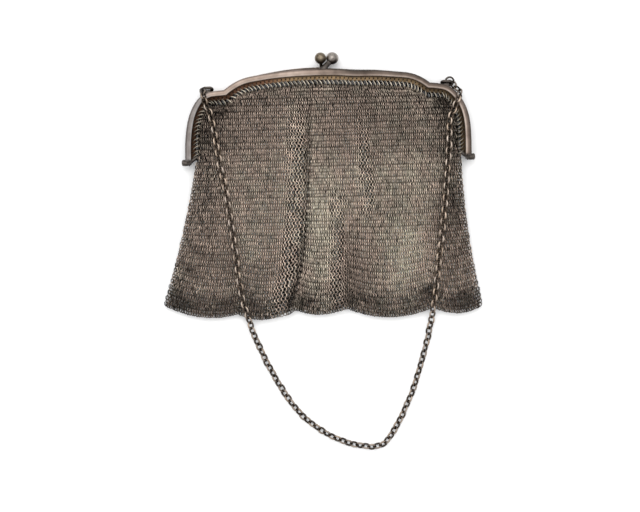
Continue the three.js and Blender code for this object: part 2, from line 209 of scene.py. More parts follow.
class ShaderGroups:
    """Shared surface effects, each a node group that is built once."""

    speck_fineness: float = 4.3
    speck_share: float = 0.45

    def __init__(self) -> None:
        """Builds the groups."""
        self.patches = self._patches()
        self.grain = self._grain()

    @staticmethod
    def _group(name: str, numbers: dict[str, float], outputs: tuple[str, ...]) -> bpy.types.NodeTree:
        """Starts a group.

        Args:
            name: The group's name.
            numbers: Its number inputs with their defaults, beside a Vector input.
            outputs: The names of its value outputs.

        Returns:
            The node group with its input and output nodes.
        """
        group = bpy.data.node_groups.new(name, "ShaderNodeTree")
        group.interface.new_socket("Vector", in_out="INPUT", socket_type="NodeSocketVector")
        for key, value in numbers.items():
            socket = group.interface.new_socket(key, in_out="INPUT", socket_type="NodeSocketFloat")
            socket.default_value = value
        for key in outputs:
            group.interface.new_socket(key, in_out="OUTPUT", socket_type="NodeSocketFloat")
        group.nodes.new("NodeGroupInput").name = "in"
        group.nodes.new("NodeGroupOutput").name = "out"
        return group

    def _patches(self) -> bpy.types.NodeTree:
        """Returns the group of tarnish patches: clouds of two sizes, spread round 0.5."""
        group = self._group("tarnish_patches", {"Scale": 60.0, "Contrast": 1.6}, ("Mask",))
        nodes, links = group.nodes, group.links
        clouds = add_node(nodes, "TexNoise", {"Detail": 5.0, "Roughness": 0.62})
        finer = add_node(nodes, "Math", {1: self.speck_fineness}, operation="MULTIPLY")
        specks = add_node(nodes, "TexNoise", {"Detail": 3.0})
        both = add_node(nodes, "Math", {1: self.speck_share}, operation="MULTIPLY_ADD")
        mean = (1.0 + self.speck_share) / 2.0
        centred = add_node(nodes, "Math", {1: mean}, operation="SUBTRACT")
        spread = add_node(nodes, "Math", {2: 0.5}, operation="MULTIPLY_ADD", use_clamp=True)
        for noise in (clouds, specks):
            links.new(nodes["in"].outputs["Vector"], noise.inputs["Vector"])
        links.new(nodes["in"].outputs["Scale"], clouds.inputs["Scale"])
        links.new(nodes["in"].outputs["Scale"], finer.inputs[0])
        links.new(finer.outputs[0], specks.inputs["Scale"])
        links.new(specks.outputs["Fac"], both.inputs[0])
        links.new(clouds.outputs["Fac"], both.inputs[2])
        links.new(both.outputs[0], centred.inputs[0])
        links.new(centred.outputs[0], spread.inputs[0])
        links.new(nodes["in"].outputs["Contrast"], spread.inputs[1])
        links.new(spread.outputs[0], nodes["out"].inputs["Mask"])
        return group

    def _grain(self) -> bpy.types.NodeTree:
        """Returns the group of fine handling marks: soft pits and hairline scratches."""
        group = self._group("handling_marks", {"Scale": 900.0, "Scratches": 0.5}, ("Height",))
        nodes, links = group.nodes, group.links
        pits = add_node(nodes, "TexNoise", {"Detail": 2.0})
        stretch = add_node(nodes, "Mapping", {"Rotation": (0.3, 0.2, 0.5), "Scale": (0.12, 2.0, 1.0)})
        lines = add_node(nodes, "TexNoise", {"Detail": 1.0})
        total = add_node(nodes, "Math", operation="MULTIPLY_ADD")
        links.new(nodes["in"].outputs["Vector"], pits.inputs["Vector"])
        links.new(nodes["in"].outputs["Vector"], stretch.inputs["Vector"])
        links.new(stretch.outputs["Vector"], lines.inputs["Vector"])
        for noise in (pits, lines):
            links.new(nodes["in"].outputs["Scale"], noise.inputs["Scale"])
        links.new(lines.outputs["Fac"], total.inputs[0])
        links.new(nodes["in"].outputs["Scratches"], total.inputs[1])
        links.new(pits.outputs["Fac"], total.inputs[2])
        links.new(total.outputs[0], nodes["out"].inputs["Height"])
        return group


@dataclass(frozen=True)
class MetalFinish:
    """A tarnished metal. Its pieces hold three values at each point: a value from 0, grime in the hollows and
    painted shade on undersides, to 1, abraded edges and painted highlights; tone as a gain on the colour,
    which on some pieces also carries painted shade; and drift towards the second tint.
    """

    name: str
    dirt_and_shade: Colour
    tarnish: Colour
    rubbed_and_lit: Colour
    tint: Colour
    roughness: tuple[float, float]
    patch_scale: float
    patch_contrast: float
    patch_share: float
    mark_scale: float
    mark_depth: float
    mark_strength: float = 0.6
    metallic: float = 1.0
    ramp_ends: tuple[float, float] = (0.08, 0.92)

    def material(self, groups: ShaderGroups) -> bpy.types.Material:
        """Builds the finish's material.

        Args:
            groups: The shared effects.

        Returns:
            The material.
        """
        material = bpy.data.materials.new(self.name)
        material.use_nodes = True
        nodes, links = material.node_tree.nodes, material.node_tree.links
        metal = nodes["Principled BSDF"]
        metal.inputs["Metallic"].default_value = self.metallic
        place = add_node(nodes, "TexCoord").outputs["Object"]
        wear, tone, drift = (
            add_node(nodes, "Attribute", attribute_name=key).outputs["Fac"]
            for key in ("wear", "tone", "drift")
        )
        patch = {"Scale": self.patch_scale, "Contrast": self.patch_contrast}
        clouded = add_node(nodes, "Group", patch, node_tree=groups.patches)
        links.new(place, clouded.inputs["Vector"])
        age = add_node(nodes, "Mix", {"Factor": self.patch_share})
        links.new(wear, age.inputs["A"])
        links.new(clouded.outputs["Mask"], age.inputs["B"])
        ramp = add_node(nodes, "ValToRGB")
        stops = ramp.color_ramp.elements
        stops.new(0.5)
        # The ramp's first colour stands for grime and for painted shade, its last for abrasion and for
        # painted highlights.
        for stop, colour in zip(stops, (self.dirt_and_shade, self.tarnish, self.rubbed_and_lit)):
            stop.color = (*colour, 1.0)
        stops[0].position, stops[-1].position = self.ramp_ends
        links.new(age.outputs["Result"], ramp.inputs["Fac"])
        tinted = add_node(nodes, "Mix", {7: (*self.tint, 1.0)}, data_type="RGBA", blend_type="MULTIPLY")
        links.new(drift, tinted.inputs["Factor"])
        links.new(ramp.outputs["Color"], tinted.inputs[6])
        toned = add_node(nodes, "VectorMath", operation="SCALE")
        links.new(tinted.outputs[2], toned.inputs[0])
        links.new(tone, toned.inputs["Scale"])
        links.new(toned.outputs["Vector"], metal.inputs["Base Color"])
        gloss = add_node(nodes, "MapRange", dict(zip(("To Min", "To Max"), self.roughness)))
        links.new(age.outputs["Result"], gloss.inputs["Value"])
        links.new(gloss.outputs["Result"], metal.inputs["Roughness"])
        marks = add_node(nodes, "Group", {"Scale": self.mark_scale}, node_tree=groups.grain)
        links.new(place, marks.inputs["Vector"])
        bump = add_node(nodes, "Bump", {"Strength": self.mark_strength, "Distance": self.mark_depth * MM})
        links.new(marks.outputs["Height"], bump.inputs["Height"])
        links.new(bump.outputs["Normal"], metal.inputs["Normal"])
        return material


class Finishes:
    """All the purse's materials, by use."""

    def __init__(self) -> None:
        """Builds the shared effects and the materials."""
        groups = ShaderGroups()
        self.bar = MetalFinish(
            "worn_silver_bar",
            dirt_and_shade=(0.04, 0.03, 0.024), tarnish=(0.205, 0.159, 0.132), rubbed_and_lit=(0.46, 0.385, 0.333),
            tint=(0.92, 1.04, 1.17), roughness=(0.55, 0.42), patch_scale=45.0, patch_contrast=2.0,
            patch_share=0.4, mark_scale=500.0, mark_depth=0.012,
        ).material(groups)
        self.gilt = MetalFinish(
            "gilt_rail",
            dirt_and_shade=(0.014, 0.01, 0.007), tarnish=(0.115, 0.082, 0.046), rubbed_and_lit=(0.34, 0.24, 0.13),
            tint=(0.78, 0.58, 0.62), roughness=(0.6, 0.45), patch_scale=160.0, patch_contrast=1.8,
            patch_share=0.3, mark_scale=900.0, mark_depth=0.02,
        ).material(groups)
        self.fitting = MetalFinish(
            "dark_silver_fitting",
            dirt_and_shade=(0.022, 0.019, 0.017), tarnish=(0.125, 0.108, 0.096), rubbed_and_lit=(0.5, 0.46, 0.42),
            tint=(1.0, 0.92, 0.74), roughness=(0.45, 0.24), patch_scale=220.0, patch_contrast=1.8,
            patch_share=0.35, mark_scale=900.0, mark_depth=0.015,
        ).material(groups)
        self.links = MetalFinish(
            "brown_silver_links",
            dirt_and_shade=(0.022, 0.017, 0.014), tarnish=(0.17, 0.138, 0.115), rubbed_and_lit=(0.6, 0.51, 0.44),
            tint=(1.0, 0.92, 0.82), roughness=(0.5, 0.32), patch_scale=300.0, patch_contrast=1.6,
            patch_share=0.22, mark_scale=1200.0, mark_depth=0.015,
        ).material(groups)
        self.rings = MetalFinish(
            "tarnished_mesh_rings",
            dirt_and_shade=(0.006, 0.0048, 0.004), tarnish=(0.1, 0.079, 0.064), rubbed_and_lit=(0.835, 0.657, 0.54),
            tint=(0.9, 1.02, 1.0), roughness=(0.55, 0.4), patch_scale=38.0, patch_contrast=1.6,
            patch_share=0.15, mark_scale=2500.0, mark_depth=0.01, metallic=0.9,
        ).material(groups)


# Modelling


def deselect() -> None:
    """Leaves edit mode and deselects everything, since the CAD nodes come in selected."""
    if bpy.context.object is not None and bpy.context.object.mode != "OBJECT":
        bpy.ops.object.mode_set(mode="OBJECT")
    bpy.ops.object.select_all(action="DESELECT")


def select_only(*pieces: bpy.types.Object) -> None:
    """Selects the pieces alone, the first of them active."""
    deselect()
    for piece in pieces:
        piece.select_set(True)
    bpy.context.view_layer.objects.active = pieces[0]


def points_of(piece: bpy.types.Object) -> np.ndarray:
    """Returns the points of a piece's mesh as rows."""
    flat = np.zeros(3 * len(piece.data.vertices))
    piece.data.vertices.foreach_get("co", flat)
    return flat.reshape(-1, 3)


def set_points(piece: bpy.types.Object, points: np.ndarray) -> None:
    """Moves the points of a piece's mesh."""
    piece.data.vertices.foreach_set("co", np.asarray(points, np.float32).ravel())
    piece.data.update()


def set_values(piece: bpy.types.Object, **values: np.ndarray | float) -> None:
    """Writes values for the points of a piece, each set of them as the attribute that it is named for."""
    count = len(piece.data.vertices)
    for key, value in values.items():
        layer = piece.data.attributes.get(key) or piece.data.attributes.new(key, "FLOAT", "POINT")
        layer.data.foreach_set("value", np.broadcast_to(np.asarray(value, np.float32), (count,)).copy())


@contextmanager
def editing(piece: bpy.types.Object) -> Iterator[None]:
    """Opens a piece in edit mode with all of it selected, and leaves edit mode at the end."""
    select_only(piece)
    bpy.ops.object.mode_set(mode="EDIT")
    bpy.ops.mesh.select_all(action="SELECT")
    yield
    bpy.ops.object.mode_set(mode="OBJECT")


def close_up(piece: bpy.types.Object, fill: bool = True) -> None:
    """Merges doubled points, closes open ends and turns the faces outwards.

    Args:
        piece: The piece to close.
        fill: Whether open ends get a face.
    """
    with editing(piece):
        bpy.ops.mesh.remove_doubles(threshold=MERGE)
        if fill:
            bpy.ops.mesh.select_all(action="SELECT")
            bpy.ops.mesh.fill_holes(sides=0)
        bpy.ops.mesh.select_all(action="SELECT")
        bpy.ops.mesh.normals_make_consistent(inside=False)


def shade_smooth(piece: bpy.types.Object, degrees: float) -> None:
    """Shades a piece smooth up to an angle."""
    select_only(piece)
    bpy.ops.object.shade_smooth_by_angle(angle=math.radians(degrees))


def apply_modifier(piece: bpy.types.Object, kind: str, **settings: float | int | str | bool) -> None:
    """Adds a modifier with its settings to a piece and applies it."""
    select_only(piece)
    modifier = piece.modifiers.new(kind.lower(), kind)
    for key, value in settings.items():
        setattr(modifier, key, value)
    bpy.ops.object.modifier_apply(modifier=modifier.name)


def settle(piece: bpy.types.Object) -> None:
    """Puts a piece's place, turn and scale into its mesh."""
    select_only(piece)
    bpy.ops.object.transform_apply(location=True, rotation=True, scale=True)


def join(name: str, pieces: list[bpy.types.Object]) -> bpy.types.Object:
    """Joins pieces into the first one under a name."""
    select_only(*pieces)
    if len(pieces) > 1:
        bpy.ops.object.join()
    pieces[0].name = pieces[0].data.name = name
    return pieces[0]


def wrapped_grid(
    along: int, across: int, place: Callable[[np.ndarray, np.ndarray], np.ndarray],
) -> bpy.types.Object:
    """Adds a grid and lays it on a surface.

    Args:
        along: Number of faces along the surface.
        across: Number of faces across it.
        place: Gives the layout points for the two sets of shares along and across, from 0 to 1.

    Returns:
        The grid's object, with open ends.
    """
    deselect()
    bpy.ops.mesh.primitive_grid_add(x_subdivisions=along, y_subdivisions=across, size=2.0)
    piece = bpy.context.object
    flat = (points_of(piece)[:, :2] + 1.0) / 2.0
    set_points(piece, DATUM.metres(place(flat[:, 0], flat[:, 1])))
    return piece


def tube(line: np.ndarray, radii: np.ndarray, sides: int = 12, flatness: float = 1.0) -> bpy.types.Object:
    """Makes a round bar along a line.

    Args:
        line: Points of its middle, as rows.
        radii: Its radius at each point.
        sides: Number of its sides.
        flatness: Its height across as a share of its width.

    Returns:
        The closed bar.
    """
    travel = unit(np.gradient(line, axis=0))
    across = unit(np.cross(travel, UP))
    over = np.cross(across, travel)

    def place(u: np.ndarray, w: np.ndarray) -> np.ndarray:
        """Returns the bar's points for shares along it and round it."""
        i = np.rint(u * (len(line) - 1)).astype(int)
        turn = 2.0 * math.pi * w[:, None]
        rim = np.cos(turn) * across[i] + flatness * np.sin(turn) * over[i]
        return line[i] + radii[i][:, None] * rim

    piece = wrapped_grid(len(line) - 1, sides, place)
    close_up(piece)
    return piece


@dataclass
class Pattern:
    """A small shape that is modelled once and copied many times: its points in millimetres and its faces."""

    points: np.ndarray
    faces: np.ndarray

    @classmethod
    def taken_from(cls, piece: bpy.types.Object) -> "Pattern":
        """Takes the shape of a piece of four-sided faces, and removes the piece."""
        faces = np.array([list(polygon.vertices) for polygon in piece.data.polygons])
        pattern = cls(points_of(piece), faces)
        bpy.data.objects.remove(piece)
        return pattern

    def laid(
        self, middles: np.ndarray, along: np.ndarray, broad: np.ndarray, thin: np.ndarray,
    ) -> np.ndarray:
        """Lays copies of the shape out.

        Args:
            middles: The copies' middles, as rows.
            along: The way that the shape's X goes for each copy, as rows.
            broad: The way that its Y goes.
            thin: The way that its Z goes.

        Returns:
            The copies' points, as copy by point by axis.
        """
        placed = np.repeat(middles[:, None], len(self.points), axis=1)
        for column, way in zip(self.points.T, (along, broad, thin)):
            placed = placed + column[None, :, None] * way[:, None]
        return placed

    def copies(self, name: str, placed: np.ndarray) -> bpy.types.Object:
        """Joins copies of the shape into one mesh.

        Args:
            name: The piece's name.
            placed: The copies' points in the layout, as copy by point by axis.

        Returns:
            The new piece.
        """
        count, size = placed.shape[:2]
        corners = (self.faces[None] + size * np.arange(count)[:, None, None]).ravel()
        mesh = bpy.data.meshes.new(name)
        mesh.vertices.add(count * size)
        mesh.vertices.foreach_set("co", DATUM.metres(placed).astype(np.float32).ravel())
        mesh.loops.add(len(corners))
        mesh.loops.foreach_set("vertex_index", corners.astype(np.int32))
        mesh.polygons.add(len(corners) // 4)
        mesh.polygons.foreach_set("loop_start", np.arange(0, len(corners), 4, dtype=np.int32))
        mesh.update(calc_edges=True)
        mesh.shade_smooth()
        piece = bpy.data.objects.new(name, mesh)
        bpy.context.scene.collection.objects.link(piece)
        return piece


def wire_ring(radius: float, wire: float, segments: int, sides: int, stretch: float = 0.0) -> Pattern:
    """Models a ring of wire, drawn out along X where it is a link.

    Args:
        radius: Radius of the wire's middle line.
        wire: Radius of the wire.
        segments: Number of segments round the ring.
        sides: Number of sides of the wire.
        stretch: Half the length that the ring is drawn out by.

    Returns:
        The ring about the layout's zero, flat in XY.
    """
    deselect()
    bpy.ops.mesh.primitive_torus_add(
        major_segments=segments, minor_segments=sides, major_radius=radius, minor_radius=wire,
    )
    ring = bpy.context.object
    for way in (1, -1):
        bpy.ops.object.mode_set(mode="EDIT")
        bpy.ops.mesh.select_all(action="DESELECT")
        bpy.ops.object.mode_set(mode="OBJECT")
        side = way * points_of(ring)[:, 0] > 1e-6
        ring.data.vertices.foreach_set("select", side)
        bpy.ops.object.mode_set(mode="EDIT")
        bpy.ops.transform.translate(value=(way * stretch, 0.0, 0.0))
    bpy.ops.object.mode_set(mode="OBJECT")
    return Pattern.taken_from(ring)


def finish_piece(piece: bpy.types.Object, material: bpy.types.Material, slot: Slot, *nodes: str) -> None:
    """Gives a piece its material and body, and hides the solids that it stands for.

    Args:
        piece: The piece.
        material: Its material.
        slot: The record's slot for its finish; not used.
        nodes: CAD nodes that it stands for.
    """
    for key, plain in (("wear", 0.5), ("tone", 1.0), ("drift", 0.0)):
        if piece.data.attributes.get(key) is None:
            set_values(piece, **{key: plain})
    piece.data.materials.clear()
    piece.data.materials.append(material)
    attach(piece, BODY)
    if nodes:
        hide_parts(*nodes)
    LOG.info("%s: %d faces", piece.name, len(piece.data.polygons))


def layout_points(piece: bpy.types.Object) -> np.ndarray:
    """Returns a piece's points in the purse's own layout, in millimetres."""
    return (points_of(piece) - SHIFT) / MM


# Frame


@dataclass
class Stations:
    """Places along the frame from the left leg end over the crown to the right one."""

    points: np.ndarray
    inward: np.ndarray
    bar: np.ndarray

    def inset(self, depth: np.ndarray | float) -> np.ndarray:
        """Returns the line that runs the given depth inside the outline."""
        return self.points + self.inward * np.reshape(depth, (-1, 1))


@dataclass
class FrameOutline:
    """The frame's outer outline: x, y, heading on arriving and on leaving in degrees, and the bar's width.

    The right half is bent a little against the left one: lifted by bells along x, and pushed out at its leg
    by a bell along y.
    """

    rows: tuple[Row, ...] = (
        (0.0, 48.3, 0.0, 0.0, 3.4),
        (40.5, 45.0, -11.0, -11.0, 3.0),
        (53.5, 38.5, -40.0, -5.0, 2.85),
        (60.6, 37.8, -9.0, -9.0, 2.8),
        (68.8, 31.9, -57.0, -57.0, 2.9),
        (73.2, 20.0, -80.0, -80.0, 3.1),
        (74.4, 3.0, -90.0, -90.0, 3.2),
    )
    steps: tuple[int, ...] = (30, 16, 8, 14, 14, 14)
    notch: int = 2
    right_lift: tuple[Row, ...] = ((1.0, 57.0, 12.0), (0.8, 47.5, 13.0), (-0.62, 15.0, 9.0))
    right_push: tuple[Row, ...] = ((0.8, 24.0, 13.0),)

    def stations(self, crown_rise: float = 0.0) -> Stations:
        """Samples the outline.

        Args:
            crown_rise: How far the crown is raised, fading out at the notches.

        Returns:
            The stations of the whole frame.
        """
        points, inward, bar = [], [], []
        for k, steps in enumerate(self.steps):
            a, b = np.array(self.rows[k]), np.array(self.rows[k + 1])
            out, back = math.radians(a[3]), math.radians(b[2])
            reach = np.hypot(*(b[:2] - a[:2])) / 3.0
            c1 = a[:2] + reach * np.array([math.cos(out), math.sin(out)])
            c2 = b[:2] - reach * np.array([math.cos(back), math.sin(back)])
            t = np.linspace(0.0, 1.0, steps + 1)[(0 if k == 0 else 1):, None]
            s = 1.0 - t
            points.append(s**3 * a[:2] + 3 * s * s * t * c1 + 3 * s * t * t * c2 + t**3 * b[:2])
            travel = unit(s * s * (c1 - a[:2]) + 2 * s * t * (c2 - c1) + t * t * (b[:2] - c2))
            normal = np.stack([travel[:, 1], -travel[:, 0]], axis=1)
            if k + 1 == self.notch:
                normal[-1] = self._miter(b)
            inward.append(normal)
            bar.append(a[4] + (b[4] - a[4]) * t[:, 0])
        right = Stations(np.vstack(points), np.vstack(inward), np.concatenate(bar))
        fade = (self.rows[self.notch][0] - right.points[:, 0]) / self.rows[1][0]
        right.points[:, 1] += crown_rise * smooth(fade)
        mirror = np.array([-1.0, 1.0])
        x, y = right.points.T
        push = bells(y, self.right_push) * smooth((x - 55.0) / 10.0)
        bent = right.points + np.column_stack([push, bells(x, self.right_lift)])
        return Stations(
            np.vstack([right.points[:0:-1] * mirror, bent]),
            np.vstack([right.inward[:0:-1] * mirror, right.inward]),
            np.concatenate([right.bar[:0:-1], right.bar]),
        )

    @staticmethod
    def _miter(row: np.ndarray) -> np.ndarray:
        """Returns the inward normal at a corner, long enough to keep the bar's width on both sides."""
        a, b = ([math.sin(math.radians(d)), -math.cos(math.radians(d))] for d in (row[2], row[3]))
        middle = unit(np.array(a) + np.array(b))
        return middle / middle.dot(np.array(a))


@dataclass(frozen=True)
class ClaspArm:
    """A clasp ball's middle and radius, and its stem: the line, the radii along it and its flatness."""

    ball: Row
    radius: float
    stem: tuple[Row, ...]
    radii: Row
    flatness: float


@dataclass(frozen=True)
class HingeSize:
    """A knuckle's ends across, and the ends of its tab across, up and down the purse, and in depth."""

    barrel: Row
    tab_x: Row
    tab_y: Row
    tab_z: Row


@dataclass
class FrameHalf:
    """One half of the frame: a folded bar, its pierced rail, a clasp ball on a stem, and hinge knuckles.

    The crown is how far the back half stands higher as a whole and left of the clasp. Brown spots are bells
    along x, and the leg ends are rows of reach and sink of the face.
    """

    face: Face
    depth: float = 10.0
    parting: float = 5.15
    sheet: float = 0.8
    rail_top: float = 8.8
    rail_sheet: float = 0.6
    hole_pitch: float = 2.16
    hole_radius: float = 0.4
    hole_inset: float = 1.05
    rail_half: float = 1.13
    ring_radius: float = 1.65
    ring_wire: float = 0.28
    ring_stretch: float = 0.4
    ring_lean: float = 62.0
    ring_slant: float = 36.0
    ring_seed: int = 11
    crown: Row = (0.5, 0.6)
    brown_spots: tuple[Row, ...] = ((0.3, 14.0, 16.0), (0.12, -4.0, 5.0), (0.12, 44.0, 10.0))
    clasps: dict[Face, ClaspArm] = field(default_factory=lambda: {
        Face.FRONT: ClaspArm(
            ball=(3.15, 54.0, 4.1), radius=3.24,
            stem=((-1.9, 47.4, 6.9), (-0.4, 49.8, 6.4), (1.9, 52.2, 5.2)),
            radii=(2.2, 1.7, 1.4, 1.5), flatness=0.6,
        ),
        Face.BACK: ClaspArm(
            ball=(-3.0, 54.1, 5.9), radius=3.0,
            stem=((-2.75, 47.6, 3.2), (-2.75, 50.1, 3.9), (-2.8, 52.2, 5.1)),
            radii=(1.5, 0.85, 0.8, 1.7), flatness=0.9,
        ),
    })
    hinges: dict[Face, HingeSize] = field(default_factory=lambda: {
        Face.FRONT: HingeSize(barrel=(73.1, 75.15), tab_x=(72.6, 74.1), tab_y=(1.7, 4.9), tab_z=(5.3, 7.6)),
        Face.BACK: HingeSize(barrel=(71.9, 73.0), tab_x=(71.9, 74.0), tab_y=(1.5, 4.3), tab_z=(0.3, 4.2)),
    })
    leaf: tuple[Row, ...] = ((72.7, 1.2, 5.6), (70.6, 2.4, 8.0), (67.8, 4.4, 9.2))
    leaf_radii: Row = (1.3, 0.75)
    leg_end: tuple[Row, ...] = ((0.3, 0.05), (0.6, 0.25), (0.82, 0.7), (0.9, 1.3))
    hinge_y: float = 1.2
    knuckle_radius: float = 1.7
    outline: FrameOutline = field(default_factory=FrameOutline)

    def stations(self) -> Stations:
        """Returns the half's stations; the back's crown stands a little higher, most left of the clasp."""
        if self.face is Face.FRONT:
            return self.outline.stations()
        whole, left = self.crown
        line = self.outline.stations(whole)
        x = line.points[:, 0]
        line.points[:, 1] += left * smooth((x + 38.0) / 28.0) * smooth((1.5 - x) / 5.0)
        return line

    def _level(self, z: np.ndarray | float) -> np.ndarray | float:
        """Returns a height of the front half as this half's height."""
        return z if self.face is Face.FRONT else self.depth - z

    def _section(self, bar: float) -> np.ndarray:
        """Returns the bar's section at a width as rows of inset, height and a value that is partly abrasion
        and partly painted light: a painted highlight along the face's inner edge, and painted shade on the
        side walls and inside the channel.
        """
        top, foot = self.depth, self.rail_top - self.rail_sheet
        return np.array([
            (0.0, self.parting, 0.1), (0.0, 6.6, 0.15), (0.0, 8.3, 0.2), (0.05, 8.85, 0.28), (0.2, 9.33, 0.4),
            (0.48, 9.7, 0.52), (0.88, 9.92, 0.58), (1.35, top, 0.6), (0.62 * bar, top, 0.56),
            (bar - 0.85, top, 0.6), (bar - 0.5, top - 0.04, 0.95), (bar - 0.12, top - 0.22, 1.0),
            (bar, top - 0.42, 0.75), (bar, 9.2, 0.05), (bar, foot, 0.05), (bar - self.sheet, foot, 0.1),
            (bar - self.sheet, top - self.sheet, 0.1), (self.sheet, top - self.sheet, 0.1),
            (self.sheet, self.parting, 0.1),
        ])

    def _past_ends(self, line: Stations) -> tuple[Stations, np.ndarray]:
        """Returns the stations carried on past the leg ends, and how far the face sinks at each."""
        reach, sink = np.array(self.leg_end).T
        ends = len(reach)
        below = np.column_stack([np.zeros(ends), -reach])
        points = np.vstack([(line.points[0] + below)[::-1], line.points, line.points[-1] + below])
        inward = np.pad(line.inward, ((ends, ends), (0, 0)), mode="edge")
        sunk = np.concatenate([sink[::-1], np.zeros(len(line.bar)), sink])
        return Stations(points, inward, np.pad(line.bar, ends, mode="edge")), sunk

    def bar(self) -> bpy.types.Object:
        """Returns the folded bar that runs over the arch and down both legs."""
        line, sunk = self._past_ends(self.stations())
        sections = np.array([self._section(width) for width in line.bar])
        count = sections.shape[1]
        brightness: list[np.ndarray] = []
        outer: list[np.ndarray] = []

        def place(u: np.ndarray, w: np.ndarray) -> np.ndarray:
            """Returns the bar's points for shares along it and round its section."""
            i = np.rint(u * (len(line.bar) - 1)).astype(int)
            k = np.rint(w * count).astype(int) % count
            # The section's third value: abrasion together with a painted highlight on the inner edge and
            # painted shade on the side walls.
            inset, level, rub_and_light = sections[i, k].T
            brightness.append(rub_and_light)
            outer.append(smooth((0.74 - inset / line.bar[i]) / 0.22))
            plan = line.points[i] + line.inward[i] * inset[:, None]
            level = level - sunk[i] * (level - self.parting) / (self.depth - self.parting)
            return np.column_stack([plan, self._level(level)])

        piece = wrapped_grid(len(line.bar) - 1, count, place)
        x = layout_points(piece)[:, 0]
        brown = bells(x, self.brown_spots)
        # The right half is darker, its outer band most: darker tarnish together with a painted reflection of
        # the dark surroundings on the rounded outer band.
        dimming = smooth((x + 4.0) / 18.0)
        set_values(
            piece,
            wear=np.clip(brightness[0] - brown - 0.12 * dimming * outer[0], 0.0, 1.0),
            drift=smooth((-58.0 - x) / 9.0),
            tone=1.2 - (0.12 + 0.58 * outer[0]) * dimming - 0.4 * smooth((-60.0 - x) / 8.0),
        )
        close_up(piece)
        shade_smooth(piece, 40.0)
        return join(f"{self.face.key}_bar", [piece])

    def _hole_line(self) -> tuple[np.ndarray, np.ndarray]:
        """Returns the running length of the rail's line of holes and the places of the holes along it."""
        line = self.stations()
        run = distances(line.inset(line.bar + self.hole_inset))
        count = int(run[-1] / self.hole_pitch)
        return run, (np.arange(count) + 0.5) * run[-1] / count

    def _beside(self, run: np.ndarray, where: np.ndarray) -> list[np.ndarray]:
        """Returns x, y, the two parts of the inward way and the bar's width at places along the holes."""
        line = self.stations()
        return [np.interp(where, run, column) for column in (*line.points.T, *line.inward.T, line.bar)]

    def rail(self) -> bpy.types.Object:
        """Returns the pierced rail: one pierced cell, repeated along the bar and thickened."""
        deselect()
        bpy.ops.mesh.primitive_circle_add(vertices=16, radius=self.hole_radius, fill_type="NOTHING")
        cell = bpy.context.object
        with editing(cell):
            bpy.ops.mesh.extrude_edges_move()
            bpy.ops.transform.resize(value=(2.4, 2.4, 1.0))
        pattern = Pattern.taken_from(cell)
        run, places = self._hole_line()
        pitch = places[1] - places[0]
        flat = pattern.points[:, :2].copy()
        rim = np.hypot(*flat.T) > 1.5 * self.hole_radius
        flat[rim] /= np.abs(flat[rim]).max(axis=1, keepdims=True)
        flat[rim] *= (pitch / 2.0, self.rail_half)
        along = np.clip(places[:, None] + flat[None, :, 0], 0.0, run[-1])
        x, y, nx, ny, bar = self._beside(run, along)
        inset = bar + self.hole_inset + flat[None, :, 1]
        level = self._level(self.rail_top - self.rail_sheet / 2.0)
        placed = np.stack([x + nx * inset, y + ny * inset, np.full_like(x, level)], axis=2)
        piece = pattern.copies(f"{self.face.key}_rail", placed)
        # Painted shade darkens the rail next to the bar.
        clear_of_bar_shade = smooth((flat[None, :, 1] + self.rail_half) / self.rail_half)
        gilded = 0.5 + 0.2 * hill(x, 0.0, 30.0) - 0.16 * smooth((np.abs(x) - 50.0) / 10.0)
        set_values(piece, wear=(clear_of_bar_shade * gilded).ravel())
        close_up(piece, fill=False)
        apply_modifier(piece, "SOLIDIFY", thickness=self.rail_sheet * MM, offset=0.0)
        close_up(piece, fill=False)
        x = layout_points(piece)[:, 0]
        set_values(
            piece,
            drift=0.2 + 0.8 * smooth((-14.0 - x) / 20.0),
            tone=1.0 - 0.58 * smooth((np.abs(x - 6.0) - 30.0) / 34.0),
        )
        shade_smooth(piece, 35.0)
        return piece

    def attaching_rings(self) -> bpy.types.Object:
        """Returns the rings that go through the rail's holes and hold the mesh."""
        ring = wire_ring(self.ring_radius, self.ring_wire, 12, 5, self.ring_stretch)
        run, places = self._hole_line()
        x, y, nx, ny, bar = self._beside(run, places)
        down = unit(np.column_stack([nx, ny, np.zeros_like(nx)]))
        along = np.column_stack([-down[:, 1], down[:, 0], down[:, 2]])
        level = self._level(self.rail_top - self.rail_sheet / 2.0)
        hang = 1.4 - 0.5 * smooth((np.abs(x) - 56.0) / 8.0)
        inset = bar + self.hole_inset + hang * self.ring_radius
        centre = np.column_stack([x + nx * inset, y + ny * inset, np.full_like(x, level)])
        rng = np.random.default_rng(self.ring_seed + self.face.value)
        lean = np.radians(self.ring_lean + rng.normal(0.0, 6.0, len(places)))[:, None]
        slant = math.radians(self.ring_slant)
        hanging = math.cos(slant) * down + math.sin(slant) * along
        beside = math.cos(slant) * along - math.sin(slant) * down
        broad = np.cos(lean) * beside + np.sin(lean) * UP
        placed = ring.laid(centre, hanging, broad, np.cross(hanging, broad))
        lift = 0.5 * self.face.value * ring.points[None, :, 0]
        placed[:, :, 2] = np.maximum(placed[:, :, 2] + lift, FLOOR_GAP)
        piece = ring.copies(f"{self.face.key}_attaching_rings", placed)
        rise = self.face.value * (placed[:, :, 2] - level)
        gain = rng.uniform(0.5, 0.9, len(places)) * (1.0 - 0.45 * smooth((np.abs(x) - 50.0) / 14.0))
        set_values(
            piece, wear=np.clip(0.52 + 0.4 * rise, 0.0, 1.0).ravel(),
            tone=np.repeat(gain, len(ring.points)), drift=0.9,
        )
        return piece

